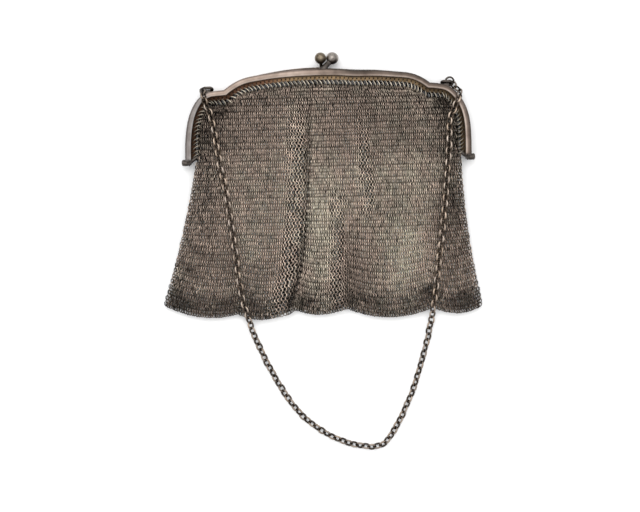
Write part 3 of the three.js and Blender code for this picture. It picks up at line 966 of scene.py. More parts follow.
    def clasp(self) -> bpy.types.Object:
        """Returns the clasp ball with its stem, which thickens where it meets the ball and the bar."""
        arm = self.clasps[self.face]
        line = curve_through(np.array(arm.stem), 8)
        share = np.linspace(0.0, 1.0, len(line))
        rod = tube(line, np.interp(share, (0.0, 0.3, 0.7, 1.0), arm.radii), 14, arm.flatness)
        deselect()
        bpy.ops.mesh.primitive_uv_sphere_add(
            segments=36, ring_count=22, radius=arm.radius * MM, location=DATUM.metres(np.array(arm.ball)),
        )
        sphere = bpy.context.object
        settle(sphere)
        piece = join(f"{self.face.key}_clasp_ball", [sphere, rod])
        at = layout_points(piece)
        foot = smooth((at[:, 1] - 51.0) / 3.0)
        wear = 0.2 + 0.5 * foot + 0.1 * self.face.value * foot
        set_values(piece, wear=wear, drift=0.0 if self.face is Face.FRONT else 1.0)
        shade_smooth(piece, 50.0)
        return piece

    def knuckles(self) -> bpy.types.Object:
        """Returns both hinge knuckles with the tabs that join them to the leg ends, and the inner leaves."""
        made = []
        size = self.hinges[self.face]
        for side in Side:
            if self.face is Face.BACK:
                leaf = curve_through(np.array(self.leaf) * (side.value, 1.0, 1.0), 6)
                made.append(tube(leaf, np.linspace(*self.leaf_radii, len(leaf)), 10))
            made.append(self._barrel(side, size.barrel))
            made.append(self._tab(side, size.tab_x, size.tab_y, size.tab_z))
        piece = join(f"{self.face.key}_hinge_knuckles", made)
        set_values(piece, wear=0.3)
        shade_smooth(piece, 40.0)
        return piece

    def _barrel(self, side: Side, span: Row) -> bpy.types.Object:
        """Returns one knuckle, a short barrel along X with rounded rims."""
        deselect()
        middle = np.array([side.value * sum(span) / 2.0, self.hinge_y, self.depth / 2.0])
        bpy.ops.mesh.primitive_cylinder_add(
            vertices=28, radius=self.knuckle_radius * MM, depth=(span[1] - span[0]) * MM,
            location=DATUM.metres(middle), rotation=(0.0, math.pi / 2.0, 0.0),
        )
        barrel = bpy.context.object
        settle(barrel)
        apply_modifier(barrel, "BEVEL", width=0.3 * MM, segments=3, limit_method="ANGLE")
        return barrel

    def _tab(self, side: Side, across: Row, height: Row, depth: Row) -> bpy.types.Object:
        """Returns the tab between a knuckle and its leg, a small rounded block."""
        deselect()
        low, high = (np.array([side.value * across[k], height[k], depth[k]]) for k in (0, 1))
        bpy.ops.mesh.primitive_cube_add(size=1.0, location=DATUM.metres((low + high) / 2.0))
        tab = bpy.context.object
        tab.scale = np.abs(high - low) * MM
        settle(tab)
        apply_modifier(tab, "BEVEL", width=0.25 * MM, segments=2, limit_method="ANGLE")
        return tab

    def build(self, finishes: Finishes) -> None:
        """Builds the half's pieces and dresses them; the bar stands for the half's solid."""
        finish_piece(self.bar(), finishes.bar, Slot.FRAME, f"frame_{self.face.key}")
        finish_piece(self.rail(), finishes.gilt, Slot.FRAME)
        finish_piece(self.attaching_rings(), finishes.rings, Slot.MESH)
        finish_piece(self.clasp(), finishes.fitting, Slot.FRAME)
        finish_piece(self.knuckles(), finishes.fitting, Slot.HINGE)


@dataclass
class HingePin:
    """A riveted pin through the knuckles of one leg, with a domed head outside."""

    side: Side
    hinge_y: float = 1.2
    mid_depth: float = 5.0
    profile: tuple[Row, ...] = (
        (0.0, 71.2), (0.7, 71.22), (1.1, 71.32), (1.25, 71.5), (1.25, 71.8), (0.7, 71.8), (0.7, 75.2),
        (1.7, 75.2), (1.7, 75.5), (1.58, 75.84), (1.28, 76.12), (0.74, 76.32), (0.0, 76.38),
    )

    def build(self, finishes: Finishes) -> None:
        """Spins the pin's profile round its axis and dresses it."""
        deselect()
        bpy.ops.mesh.primitive_circle_add(vertices=len(self.profile), radius=1.0, fill_type="NOTHING")
        pin = bpy.context.object
        outline = np.array([(self.side.value * along, radius, 0.0) for radius, along in self.profile])
        axis = np.array([0.0, self.hinge_y, self.mid_depth])
        set_points(pin, DATUM.metres(outline + axis))
        with editing(pin):
            bpy.ops.mesh.spin(
                steps=28, angle=2.0 * math.pi, center=DATUM.metres(axis), axis=(1.0, 0.0, 0.0),
                use_auto_merge=True,
            )
        self._drop_axis(pin)
        close_up(pin, fill=False)
        join(f"{self.side.key}_hinge_pin", [pin])
        set_values(pin, wear=0.34)
        shade_smooth(pin, 40.0)
        finish_piece(pin, finishes.fitting, Slot.HINGE, f"hinge_pin_{self.side.key}")

    @staticmethod
    def _drop_axis(pin: bpy.types.Object) -> None:
        """Deletes the faces that the profile's closing edge swept along the axis."""
        with editing(pin):
            bpy.ops.mesh.remove_doubles(threshold=MERGE)
            bpy.ops.mesh.dissolve_degenerate(threshold=SPECK)
            bpy.ops.mesh.select_all(action="SELECT")
            bpy.ops.mesh.delete_loose()


# Chain


@dataclass
class ChainFitting:
    """An eyelet on one shoulder of the back half, with the jump ring that holds the chain."""

    side: Side
    loop_at: dict[Side, Row] = field(
        default_factory=lambda: {Side.LEFT: (-62.2, 39.2, 3.1), Side.RIGHT: (62.4, 40.2, 3.1)},
    )
    loop_tip: dict[Side, float] = field(default_factory=lambda: {Side.LEFT: 60.0, Side.RIGHT: 72.0})
    loop_radius: float = 1.55
    loop_wire: float = 0.78
    loop_stretch: float = 1.0
    post_foot: float = 36.8
    post_size: Row = (3.0, 1.8)
    post_gap: float = 0.4
    ring_at: dict[Side, Row] = field(
        default_factory=lambda: {Side.LEFT: (-64.1, 37.7, 5.6), Side.RIGHT: (64.0, 40.7, 3.1)},
    )
    ring_turn: dict[Side, Row] = field(
        default_factory=lambda: {Side.LEFT: (-25.0, 46.0, 0.0), Side.RIGHT: (12.0, 14.0, 0.0)},
    )
    ring_radius: float = 2.2
    ring_wire: float = 0.5
    ring_bend: float = 356.0

    def eyelet(self) -> bpy.types.Object:
        """Returns the eyelet: an oval loop of wire, tipped back on a short post."""
        loop = wire_ring(self.loop_radius, self.loop_wire, 32, 12, self.loop_stretch)
        tip = math.radians(self.loop_tip[self.side])
        x, y, z = loop.points.T
        centre = np.array(self.loop_at[self.side])
        sine, cosine = math.sin(tip), math.cos(tip)
        turned = np.column_stack([x, y * cosine - z * sine, y * sine + z * cosine])
        oval = loop.copies("loop", (centre + turned)[None])
        deselect()
        rise = centre[1] - self.post_foot
        middle = centre - (0.0, (rise + self.post_gap) / 2.0, 0.0)
        bpy.ops.mesh.primitive_cube_add(size=1.0, location=DATUM.metres(middle))
        post = bpy.context.object
        wide, deep = self.post_size
        post.scale = np.array([wide, rise - self.post_gap, deep]) * MM
        settle(post)
        apply_modifier(post, "BEVEL", width=0.4 * MM, segments=3, limit_method="ANGLE")
        return join(f"{self.side.key}_eyelet", [oval, post])

    def ring(self) -> bpy.types.Object:
        """Returns the jump ring; its bent wire has cut ends that meet at a fine gap."""
        deselect()
        bpy.ops.mesh.primitive_circle_add(
            vertices=10, radius=self.ring_wire * MM, fill_type="NGON",
            location=(self.ring_radius * MM, 0.0, 0.0), rotation=(math.pi / 2.0, 0.0, 0.0),
        )
        ring = bpy.context.object
        settle(ring)
        bend = math.radians(self.ring_bend)
        with editing(ring):
            bpy.ops.mesh.spin(steps=32, angle=bend, center=(0.0, 0.0, 0.0), axis=(0.0, 0.0, 1.0))
        close_up(ring)
        ring.location = DATUM.metres(np.array(self.ring_at[self.side]))
        ring.rotation_euler = np.radians(self.ring_turn[self.side])
        settle(ring)
        return join(f"{self.side.key}_jump_ring", [ring])

    def build(self, finishes: Finishes) -> None:
        """Builds the eyelet and the ring and dresses them."""
        for piece, nodes in ((self.eyelet(), ()), (self.ring(), (f"ring_{self.side.key}",))):
            rise = layout_points(piece)[:, 2] - self.loop_at[self.side][2]
            set_values(piece, wear=np.clip(0.22 + 0.07 * rise, 0.05, 0.5), tone=0.7)
            shade_smooth(piece, 50.0)
            finish_piece(piece, finishes.fitting, Slot.CHAIN, *nodes)


@dataclass
class Chain:
    """The carrying chain: oval links along its route, each turned about the line against the last."""

    length: float = 4.95
    width: float = 3.9
    wire: float = 0.47
    pitch: float = 3.06
    hook: float = 1.3
    roll: float = 40.0
    floor_drop: float = 0.25
    bag_drop: float = 0.62
    hanging_from: float = 36.0
    sway: float = 0.08
    sway_turn: float = 6.0
    seed: int = 5
    start: Row = (65.5, 39.7, 3.1)
    end: Row = (-64.3, 38.2, 7.6)
    route: tuple[Row, ...] = (
        (66.9, 37.6, 4.6), (68.9, 34.9, 7.6), (68.2, 32.0, 11.9), (66.9, 29.2, 12.3), (66.1, 26.6, 12.1),
        (64.4, 24.0, 12.0), (63.2, 19.2, 11.9), (62.9, 9.5, 11.9), (61.7, -3.6, 11.7),
        (60.3, -18.9, 10.9), (58.3, -36.4, 10.0), (56.2, -51.7, 9.3), (54.4, -65.8, 8.5),
        (53.0, -74.6, 7.5), (51.9, -81.4, 4.8), (50.7, -87.6, 2.6), (48.9, -95.5, 1.9),
        (46.3, -104.2, 1.75), (41.3, -119.5, 1.75), (34.0, -135.4, 1.75), (29.4, -142.9, 1.75),
        (27.1, -145.6, 1.75), (25.4, -147.5, 1.75), (22.6, -148.2, 1.75), (18.5, -148.7, 1.75),
        (8.0, -146.6, 1.75), (-4.0, -141.4, 1.75), (-15.3, -132.8, 1.75), (-24.5, -121.4, 1.75),
        (-32.6, -107.4, 1.75), (-37.2, -97.6, 1.9), (-40.6, -89.6, 2.6), (-42.7, -83.0, 4.8),
        (-44.2, -77.6, 7.4), (-46.2, -70.4, 8.8), (-48.2, -58.1, 9.4), (-50.7, -35.0, 10.2),
        (-54.0, -11.9, 11.1), (-56.4, 0.1, 11.7), (-58.2, 12.2, 11.9), (-59.6, 21.0, 11.9),
        (-61.0, 26.4, 12.0), (-62.8, 30.6, 12.1), (-63.8, 34.0, 12.1), (-64.3, 36.6, 10.2),
    )

    def line(self) -> np.ndarray:
        """Returns the line of the links' middles, let down from the solid's line until the links lie on."""
        route = np.array(self.route)
        on_bag = smooth((route[:, 2] - 2.0) / 4.0)
        drop = self.floor_drop + (self.bag_drop - self.floor_drop) * on_bag
        route[:, 2] -= drop * (route[:, 1] < self.hanging_from)
        return curve_through(np.vstack([self.start, route, self.end]), 16)

    def build(self, finishes: Finishes) -> None:
        """Models one link, copies it along the line and dresses the chain."""
        radius = self.width / 2.0 - self.wire
        link = wire_ring(radius, self.wire, 20, 8)
        spine = unit(link.points * (1.0, 1.0, 0.0)) * radius
        link.points[:, 0] += spine[:, 0] * (self.length - self.width) / (2.0 * radius)
        line = self.line()
        total = distances(line)[-1]
        count = round((total - 2.0 * self.hook) / self.pitch) + 1
        where = np.linspace(self.hook, total - self.hook, count)
        reach = self.length / 2.0 - self.wire
        centre = at_lengths(line, where)
        travel = unit(at_lengths(line, where + reach) - at_lengths(line, where - reach))
        across = unit(np.cross(UP, travel))
        over = np.cross(travel, across)
        rng = np.random.default_rng(self.seed)
        turn = np.where(np.arange(count) % 2 == 0, self.roll, -self.roll)
        turn = np.radians(turn + rng.normal(0.0, self.sway_turn, count))[:, None]
        broad = np.cos(turn) * across + np.sin(turn) * over
        centre = centre + rng.normal(0.0, self.sway, (count, 1)) * across
        placed = link.laid(centre, travel, broad, np.cross(travel, broad))
        placed[:, :, 2] = np.maximum(placed[:, :, 2], FLOOR_GAP)
        piece = link.copies("chain_links", placed)
        size = len(link.points)
        # Lighter along the tops and the outer rims, darker underneath and at the interlocking ends: a painted
        # highlight and painted shade, with abrasion on the rims.
        lengthwise, outward = np.abs(link.points[:, 0]), np.abs(link.points[:, 1]) / (self.width / 2.0)
        rise = (placed[:, :, 2] - centre[:, None, 2]) / (self.width / 2.0)
        wear = 0.42 + 0.5 * np.clip(rise, -1.0, 1.0) + 0.5 * (outward[None] - 0.72)
        wear = wear - 0.25 * smooth((lengthwise - 1.6) / 0.5)[None]
        from_end = np.minimum(where, total - where)
        dimming = 0.55 * smooth((15.0 - from_end) / 9.0) + 0.4 * smooth((3.4 - centre[:, 2]) / 1.4)
        gain = rng.uniform(0.85, 1.12, count) * (1.0 - dimming)
        drift = rng.uniform(0.0, 1.0, count)
        set_values(
            piece, wear=np.clip(wear, 0.0, 1.0).ravel(),
            tone=np.repeat(gain, size), drift=np.repeat(drift, size),
        )
        finish_piece(piece, finishes.links, Slot.CHAIN, "chain")


# Pouch


@dataclass(frozen=True)
class Fold:
    """A fold of the front wall: rows of y and x along its crest, its rise and the widths of its flanks.

    The rings beside a sharp fold are pulled apart on its left and pushed together on its right by the pull.
    Where they are pulled apart a painted highlight lies on the flank, and painted shade darkens the valley at
    the fold's foot. A fold may run over a part of the wall's height only.
    """

    crest: tuple[Row, ...]
    rise: float
    left: float
    right: float
    pull: float = 0.0
    span: Row = (90.0, -120.0)
    pull_offset: float = -1.6
    pull_reach: Row = (4.6, 11.0)
    # Strength of the painted shade in the valley.
    dirt_and_shade: float = 0.35
    # Strength of the painted highlight on the pulled flank.
    sheen_strength: float = 0.15
    fading: float = 12.0

    def offset(self, x: np.ndarray, y: np.ndarray) -> np.ndarray:
        """Returns how far points lie to the right of the crest."""
        rows = np.array(self.crest)[::-1]
        return x - np.interp(y, rows[:, 0], rows[:, 1])

    def strength(self, y: np.ndarray) -> np.ndarray:
        """Returns the fold's strength at heights, fading at its ends."""
        return smooth((self.span[0] - y) / self.fading) * smooth((y - self.span[1]) / self.fading)

    def height(self, x: np.ndarray, y: np.ndarray) -> np.ndarray:
        """Returns the fold's rise at points."""
        off = self.offset(x, y)
        swell = np.maximum(0.0, 1.0 - np.abs(off) / np.where(off < 0, self.left, self.right))
        return self.rise * self.strength(y) * smooth(swell)

    def shade(self, x: np.ndarray, y: np.ndarray) -> np.ndarray:
        """Returns how much painted shade darkens the valley at the foot of a pulled fold."""
        deep = 0.0 if self.pull == 0.0 else self.dirt_and_shade * self.strength(y)
        return deep * hill(self.offset(x, y), 0.85 * self.right, 1.0)

    def painted_sheen(self, x: np.ndarray, y: np.ndarray) -> np.ndarray:
        """Returns how much painted light brightens the rings on the flank where a pulled fold opens the mesh.
        """
        brightness = 0.0 if self.pull == 0.0 else self.sheen_strength * self.strength(y)
        return brightness * hill(self.offset(x, y), -4.0, 4.5)

    def shove(self, x: np.ndarray, y: np.ndarray) -> np.ndarray:
        """Returns how far rings at points are shoved to the right."""
        away = self.offset(x, y) - self.pull_offset
        return self.pull * self.strength(y) * hill(away / np.where(away < 0, *self.pull_reach), 0.0, 1.0)


@dataclass
class PouchForm:
    """The middle surface of the pouch's wall: a patch between mouth, hem and side edges, with its folds.

    The sides flare by a slope and a curve. The hem's notches are rows of x, y and the sag to the next one.
    The levels are rows of share down, front, back and edge height, and squareness of the section. Creases
    are rows of both ends' x and y, depth and width.
    """

    mouth_half: float = 62.6
    rail_reach: float = 2.4
    flare: dict[Side, Row] = field(
        default_factory=lambda: {Side.LEFT: (0.189, 0.000883), Side.RIGHT: (0.0412, 0.00117)},
    )
    notches: tuple[Row, ...] = (
        (-86.8, -72.6, 3.7), (-49.0, -77.8, 4.2), (-20.7, -75.6, 3.1), (7.2, -76.0, 4.8), (53.0, -76.5, 3.4),
        (78.2, -76.2, 0.0),
    )
    folds: tuple[Fold, ...] = (
        Fold(((42.0, -60.0), (-77.0, -68.0)), 0.8, 13.0, 12.0),
        Fold(((42.0, -37.0), (-77.0, -37.0)), 0.8, 15.0, 13.0),
        Fold(
            ((42.0, -12.0), (11.0, -12.8), (-12.7, -13.8), (-35.0, -15.0), (-56.8, -18.6), (-77.0, -25.0)),
            2.4, 11.0, 3.0, 3.6, dirt_and_shade=1.0, sheen_strength=0.5,
        ),
        Fold(((42.0, -1.0), (-77.0, -8.0)), 0.3, 9.0, 11.0),
        Fold(
            ((42.0, 19.6), (30.0, 20.3), (-15.0, 22.4), (-30.0, 21.0)),
            0.9, 10.0, 4.0, 2.0, span=(60.0, -34.0), pull_reach=(3.0, 16.0),
        ),
        Fold(
            ((-10.0, 7.6), (-30.0, 6.9), (-66.0, 5.4), (-77.0, 7.2)),
            1.0, 9.0, 4.0, 2.0, span=(-10.0, -95.0), pull_reach=(3.4, 16.0),
        ),
        Fold(((42.0, 43.0), (-77.0, 32.0)), 0.7, 19.0, 17.0),
        Fold(((42.0, 64.0), (-77.0, 66.0)), 0.7, 8.0, 8.0),
    )
    levels: tuple[Row, ...] = (
        (0.0, 8.2, 1.8, 5.0, 30.0), (0.1, 8.6, 0.95, 5.0, 30.0), (0.27, 8.45, 0.95, 4.85, 26.0),
        (0.34, 8.3, 0.95, 4.6, 6.0), (0.5, 7.8, 0.95, 3.8, 5.0), (0.8, 6.6, 0.95, 2.7, 4.0),
        (1.0, 5.0, 0.95, 2.1, 4.0),
    )
    hem_square: float = 6.0
    folds_full_at: float = 0.35
    unevenness: float = 0.13
    even_margin: float = 0.125
    creases: tuple[Row, ...] = (
        (-60.0, 24.6, -47.5, 29.4, 1.3, 1.0), (-58.0, 28.2, -46.5, 31.4, 1.0, 0.9),
        (44.0, -70.5, 55.5, -64.5, 1.3, 1.5), (46.5, -74.0, 54.0, -68.5, 1.0, 1.2),
        (56.0, 33.0, 63.5, 28.0, 1.0, 0.9), (57.0, 29.5, 63.5, 25.5, 0.8, 0.9),
    )
    edge: np.ndarray = field(init=False)

    def __post_init__(self) -> None:
        """Runs the line of the mouth just inside the rails."""
        line = FrameOutline().stations()
        self.edge = line.inset(line.bar + self.rail_reach)

    def mouth_y(self, u: np.ndarray) -> np.ndarray:
        """Returns the height of the mouth at shares across."""
        return np.interp(u * self.mouth_half, self.edge[:, 0], self.edge[:, 1])

    def side_x(self, side: Side, y: np.ndarray) -> np.ndarray:
        """Returns the side edge's place at heights: along the leg's rail, then flaring below the hinge."""
        right = self.edge[self.edge[:, 0] >= 0][::-1]
        slope, curve = self.flare[side]
        drop = np.maximum(0.0, -y)
        return side.value * (np.interp(y, right[:, 1], right[:, 0]) + slope * drop + curve * drop * drop)

    def hem(self, u: np.ndarray) -> tuple[np.ndarray, np.ndarray]:
        """Returns the hem's place across and its height at shares across."""
        rows = np.array(self.notches)
        x = rows[0, 0] + (u + 1.0) / 2.0 * (rows[-1, 0] - rows[0, 0])
        k = np.clip(np.searchsorted(rows[:, 0], x - 1e-9) - 1, 0, len(rows) - 2)
        t = np.clip((x - rows[k, 0]) / (rows[k + 1, 0] - rows[k, 0]), 0.0, 1.0)
        return x, rows[k, 1] + (rows[k + 1, 1] - rows[k, 1]) * t - rows[k, 2] * 4.0 * t * (1.0 - t)

    def plan(self, u: np.ndarray, v: np.ndarray) -> tuple[np.ndarray, np.ndarray]:
        """Returns the plan of points at shares across and down."""
        hem_x, hem_y = self.hem(u)
        x = u * self.mouth_half * (1.0 - v) + hem_x * v
        y = self.mouth_y(u) * (1.0 - v) + hem_y * v
        for side in Side:
            end = np.array([float(side.value)])
            top_y, (foot_x, foot_y) = self.mouth_y(end), self.hem(end)
            level = top_y + (foot_y - top_y) * v
            drift = foot_x - self.side_x(side, foot_y)
            straight = side.value * self.mouth_half * (1.0 - v) + foot_x * v
            x = x + (self.side_x(side, level) + drift * v - straight) * (1.0 + side.value * u) / 2.0
        return x, y

    def _grown(self, v: np.ndarray) -> np.ndarray:
        """Returns how far the folds have grown at shares down."""
        return smooth(v / self.folds_full_at)

    def fold_rise(self, x: np.ndarray, y: np.ndarray, v: np.ndarray) -> np.ndarray:
        """Returns the rise of the front wall's folds."""
        return self._grown(v) * sum(fold.height(x, y) for fold in self.folds)

    def crease_dip(self, x: np.ndarray, y: np.ndarray) -> np.ndarray:
        """Returns the dip of the short creases at the shoulders and the hem."""
        dip = np.zeros_like(x)
        for ax, ay, bx, by, deep, wide in self.creases:
            span = np.array([bx - ax, by - ay])
            t = np.clip(((x - ax) * span[0] + (y - ay) * span[1]) / span.dot(span), 0.0, 1.0)
            away = np.hypot(x - ax - t * span[0], y - ay - t * span[1])
            dip = dip + deep * hill(away, 0.0, wide) * np.sqrt(np.clip(4.0 * t * (1.0 - t), 0.05, 1.0))
        return dip

    def crumple(self, x: np.ndarray, y: np.ndarray) -> tuple[np.ndarray, np.ndarray]:
        """Returns small shifts across and down, where the rings have settled unevenly."""
        sway = np.sin(0.9 * x + 0.35 * y + 1.0) * np.sin(0.21 * y + 0.4)
        sway = sway + np.sin(1.31 * x - 0.5 * y + 2.2) * np.sin(0.33 * y + 0.12 * x)
        drop = np.sin(0.8 * y + 0.31 * x) * np.sin(0.27 * x + 0.9)
        return self.unevenness * sway, self.unevenness * drop

    def points(self, u: np.ndarray, v: np.ndarray, face: Face) -> np.ndarray:
        """Places points on the middle of a wall.

        Args:
            u: Shares across, from -1 at the left to 1 at the right.
            v: Shares down, from 0 at the mouth to 1 at the hem.
            face: The wall.

        Returns:
            The points as rows.
        """
        x, y = self.plan(u, v)
        sway, drop = self.crumple(x, y)
        margins = (np.minimum(1.0, (1.0 - share) / self.even_margin) for share in (np.abs(u), v))
        inside = math.prod(margins)
        x, y = x + inside * sway, y + inside * drop
        rows = np.array(self.levels).T
        front, back, edge, square = (np.interp(v, rows[0], rows[k]) for k in (1, 2, 3, 4))
        round_side = np.maximum(1.0 - np.minimum(np.abs(u), 1.0) ** square, 0.0) ** (1.0 / square)
        round_hem = np.maximum(1.0 - np.minimum(v, 1.0) ** self.hem_square, 0.0) ** (1.0 / self.hem_square)
        if face is Face.FRONT:
            x = x + self._grown(v) * sum(fold.shove(x, y) for fold in self.folds)
            wall = front + self.fold_rise(x, y, v) - self.crease_dip(x, y)
        else:
            wall = back
        return np.stack([x, y, edge + (wall - edge) * round_side * round_hem], axis=-1)


@dataclass
class RingMesh:
    """The pouch's ring mesh: every ring goes through two of the row above and two of the row below.

    Patches of paler, darker and browner rings are rows of strength, x, y and the spread in x and in y; the
    darker patch at the right, below the hinge, is painted shade beside the chain.
    """

    face: Face
    columns: int = 132
    rows: int = 73
    ring_radius: float = 1.1
    wire: float = 0.26
    segments: int = 8
    sides: int = 3
    slack_pitch: float = 1.467
    strips: int = 3
    row_pitch: float = 1.67
    crossing_dip: float = 0.2
    step: float = 0.002
    mouth_room: float = 3.9
    selvedge: Row = (3.3, 4.6)
    leg_room: float = 1.7
    top_stretch: float = 0.006
    last_share: float = 0.997
    strand_reach: float = 0.985
    wear_mean: float = 0.3
    wear_facing: float = 0.42
    wear_rise: Row = (1.1, 0.5)
    gain_range: Row = (0.2, 1.6)
    lean_limits: Row = (16.0, 62.0)
    lean_spread: float = 6.0
    place_spread: float = 0.065
    place_seed: int = 21
    tone_seed: int = 31
    pale_patches: tuple[Row, ...] = (
        (0.9, -5.2, -35.0, 8.0, 32.0), (0.8, 38.8, -44.0, 11.0, 24.0), (0.35, -41.3, -43.0, 8.0, 10.0),
        (0.3, 36.0, -9.0, 26.0, 11.0),
    )
    dark_and_shaded_patches: tuple[Row, ...] = (
        (0.26, -55.0, -55.0, 14.0, 20.0), (0.34, 12.5, -60.0, 10.0, 13.0), (0.24, 66.0, -23.0, 9.0, 11.0),
    )
    brown_patches: tuple[Row, ...] = (
        (0.6, -45.0, 24.0, 22.0, 20.0), (0.6, -62.0, -42.0, 15.0, 34.0), (0.6, -28.0, -54.0, 9.0, 16.0),
        (0.6, 11.0, -56.0, 11.0, 18.0), (0.6, 62.0, -52.0, 18.0, 24.0), (0.6, 10.0, 22.0, 14.0, 14.0),
    )
    form: PouchForm = field(default_factory=PouchForm)

    def row_share(self, u: np.ndarray, row: np.ndarray, top: float, foot: float) -> np.ndarray:
        """Returns the shares down the wall of rows that run level at the top and follow the hem below."""
        mouth, (_, hem) = self.form.mouth_y(u), self.form.hem(u)
        share = (row + 0.5) / self.rows
        share = share + self.top_stretch * (1.0 - np.exp(-share / 0.04)) * (1.0 - share)
        level = top + (foot - top) * share + (hem - foot) * smooth((share - 0.5) / 0.5)
        return (mouth - level) / (mouth - hem)

    def strand_share(self, u: np.ndarray, room: float) -> np.ndarray:
        """Returns the shares down the wall of a row that follows the rail at a distance."""
        mouth, (_, hem) = self.form.mouth_y(u), self.form.hem(u)
        climb = self.form.mouth_y(u + self.step) - self.form.mouth_y(u - self.step)
        slope = climb / (2.0 * self.step * self.form.mouth_half)
        return room * np.hypot(1.0, slope) / (mouth - hem)

    def lattice(self) -> tuple[np.ndarray, np.ndarray, np.ndarray]:
        """Lays out the rings.

        Returns:
            The rings' shares across, the shares down of their middles and of the points a step to the
            left and right in their rows, and the parity of their rows.
        """
        j, i = (grid.ravel() for grid in np.indices((self.rows, self.columns)))
        u = -1.0 + 2.0 * (i + 0.25 + 0.5 * (j % 2)) / self.columns
        mouth, (_, hem) = self.form.mouth_y(u), self.form.hem(u)
        top, foot = mouth.max() - self.mouth_room, np.mean(hem)
        steps = (0.0, -self.step, self.step)
        v = np.stack([self.row_share(u + step, j, top, foot) for step in steps])
        x, y = self.form.plan(u, v[0])
        edge = np.where(u < 0, -self.form.side_x(Side.LEFT, y), self.form.side_x(Side.RIGHT, y))
        beside = edge - np.abs(x) > self.leg_room * smooth(y / 5.0) - 0.2
        keep = (v[0] * (mouth - hem) > self.mouth_room) & (v[0] < self.last_share) & beside
        u, v, odd = u[keep], v[:, keep], j[keep] % 2
        strand = np.linspace(-self.strand_reach, self.strand_reach, self.columns)
        for k, room in enumerate(self.selvedge):
            u = np.append(u, strand)
            v = np.append(v, [self.strand_share(strand + step, room) for step in steps], axis=1)
            odd = np.append(odd, np.full(self.columns, k % 2))
        return u, v, odd

    def placed(self) -> tuple[np.ndarray, np.ndarray, np.ndarray, np.ndarray, Pattern]:
        """Places all the rings of the wall.

        Returns:
            The copies' points, their wear, the rings' middles, their shares as rows, and the pattern.
        """
        ring = wire_ring(self.ring_radius, self.wire, self.segments, self.sides)
        u, (v, left_v, right_v), odd = self.lattice()
        step = self.step
        middle = self.form.points(u, v, self.face)
        right, left = (
            self.form.points(u + way, share, self.face) for way, share in ((step, right_v), (-step, left_v))
        )
        lower, upper = (
            self.form.points(u, np.clip(v + way, 0.0, 1.0), self.face) for way in (step, -step)
        )
        across, down = right - left, unit(lower - upper)
        pitch = np.linalg.norm(across, axis=1) / (step * self.columns)
        across = unit(across)
        out = unit(np.cross(down, across)) * self.face.value
        rng = np.random.default_rng(self.place_seed + self.face.value)
        steep = np.degrees(np.arccos(np.clip(pitch / self.slack_pitch, 0.3, 0.97)))
        loose = 0.8 + 1.4 * np.exp(-v / 0.06) + 0.5 * smooth((np.abs(u) - 0.8) / 0.15)
        loose = loose + 0.7 * smooth((v - 0.86) / 0.1)
        steep = np.clip(steep, *self.lean_limits) + rng.normal(0.0, self.lean_spread, len(u)) * loose
        lean = np.radians(np.where(odd == 0, steep, -steep))[:, None]
        broad = np.cos(lean) * across + np.sin(lean) * out
        thin = unit(np.cross(down, broad))
        middle = middle + rng.normal(0.0, self.place_spread, middle.shape) * loose[:, None]
        placed = ring.laid(middle, down, broad, thin)
        spine = unit(ring.points * (1.0, 1.0, 0.0)) * self.ring_radius
        skin = Pattern(unit(ring.points - spine), ring.faces).laid(np.zeros_like(middle), down, broad, thin)
        facing = np.sum(skin * out[:, None], axis=2)
        rise = np.sum((placed - middle[:, None]) * out[:, None], axis=2)
        rise = rise / np.abs(rise).max(axis=1, keepdims=True)
        phase = np.cos(2.0 * math.pi * ring.points[:, 0] / self.row_pitch)
        wear = self.wear_mean + self.wear_facing * facing + np.where(rise < 0.0, *self.wear_rise) * rise
        wear = np.clip(wear, 0.0, 1.0) * (1.0 - self.crossing_dip * (0.5 - 0.5 * phase))
        placed[:, :, 2] = np.maximum(placed[:, :, 2], FLOOR_GAP)
        return placed, wear, middle, np.column_stack([u, v]), ring

    def tone(self, middle: np.ndarray, shares: np.ndarray) -> tuple[np.ndarray, np.ndarray]:
        """Returns the gain on the colour, with painted shade and painted light in it, and the drift to the
        green tint at the rings' middles.
        """
        x, y = middle[:, 0], middle[:, 1]
        u, v = np.abs(shares[:, 0]), shares[:, 1]
        pale = patches(x, y, self.pale_patches)
        hem, sides, top = smooth((v - 0.86) / 0.1), smooth((u - 0.74) / 0.18), np.exp(-v / 0.04)
        # Darker towards the hem and the sides; painted shade under the frame along the top rows; darker
        # patches, one of them painted shade.
        dark = 0.44 * hem + 0.32 * sides + 0.42 * top + patches(x, y, self.dark_and_shaded_patches)
        shoulders = smooth((y + 4.0) / 22.0) * (1.0 - 0.7 * hill(x, -7.0, 14.0))
        # Painted shade in the corners beside the legs.
        legs = smooth((u - 0.86) / 0.08) * smooth((y + 6.0) / 8.0)
        dark = dark + 0.24 * shoulders + 0.08 * legs
        if self.face is Face.FRONT:
            # Painted shade in the fold valleys, less painted light on the pulled flanks.
            folded = sum(0.75 * fold.shade(x, y) - fold.painted_sheen(x, y) for fold in self.form.folds)
            dark = dark + folded * smooth(v / 0.2)
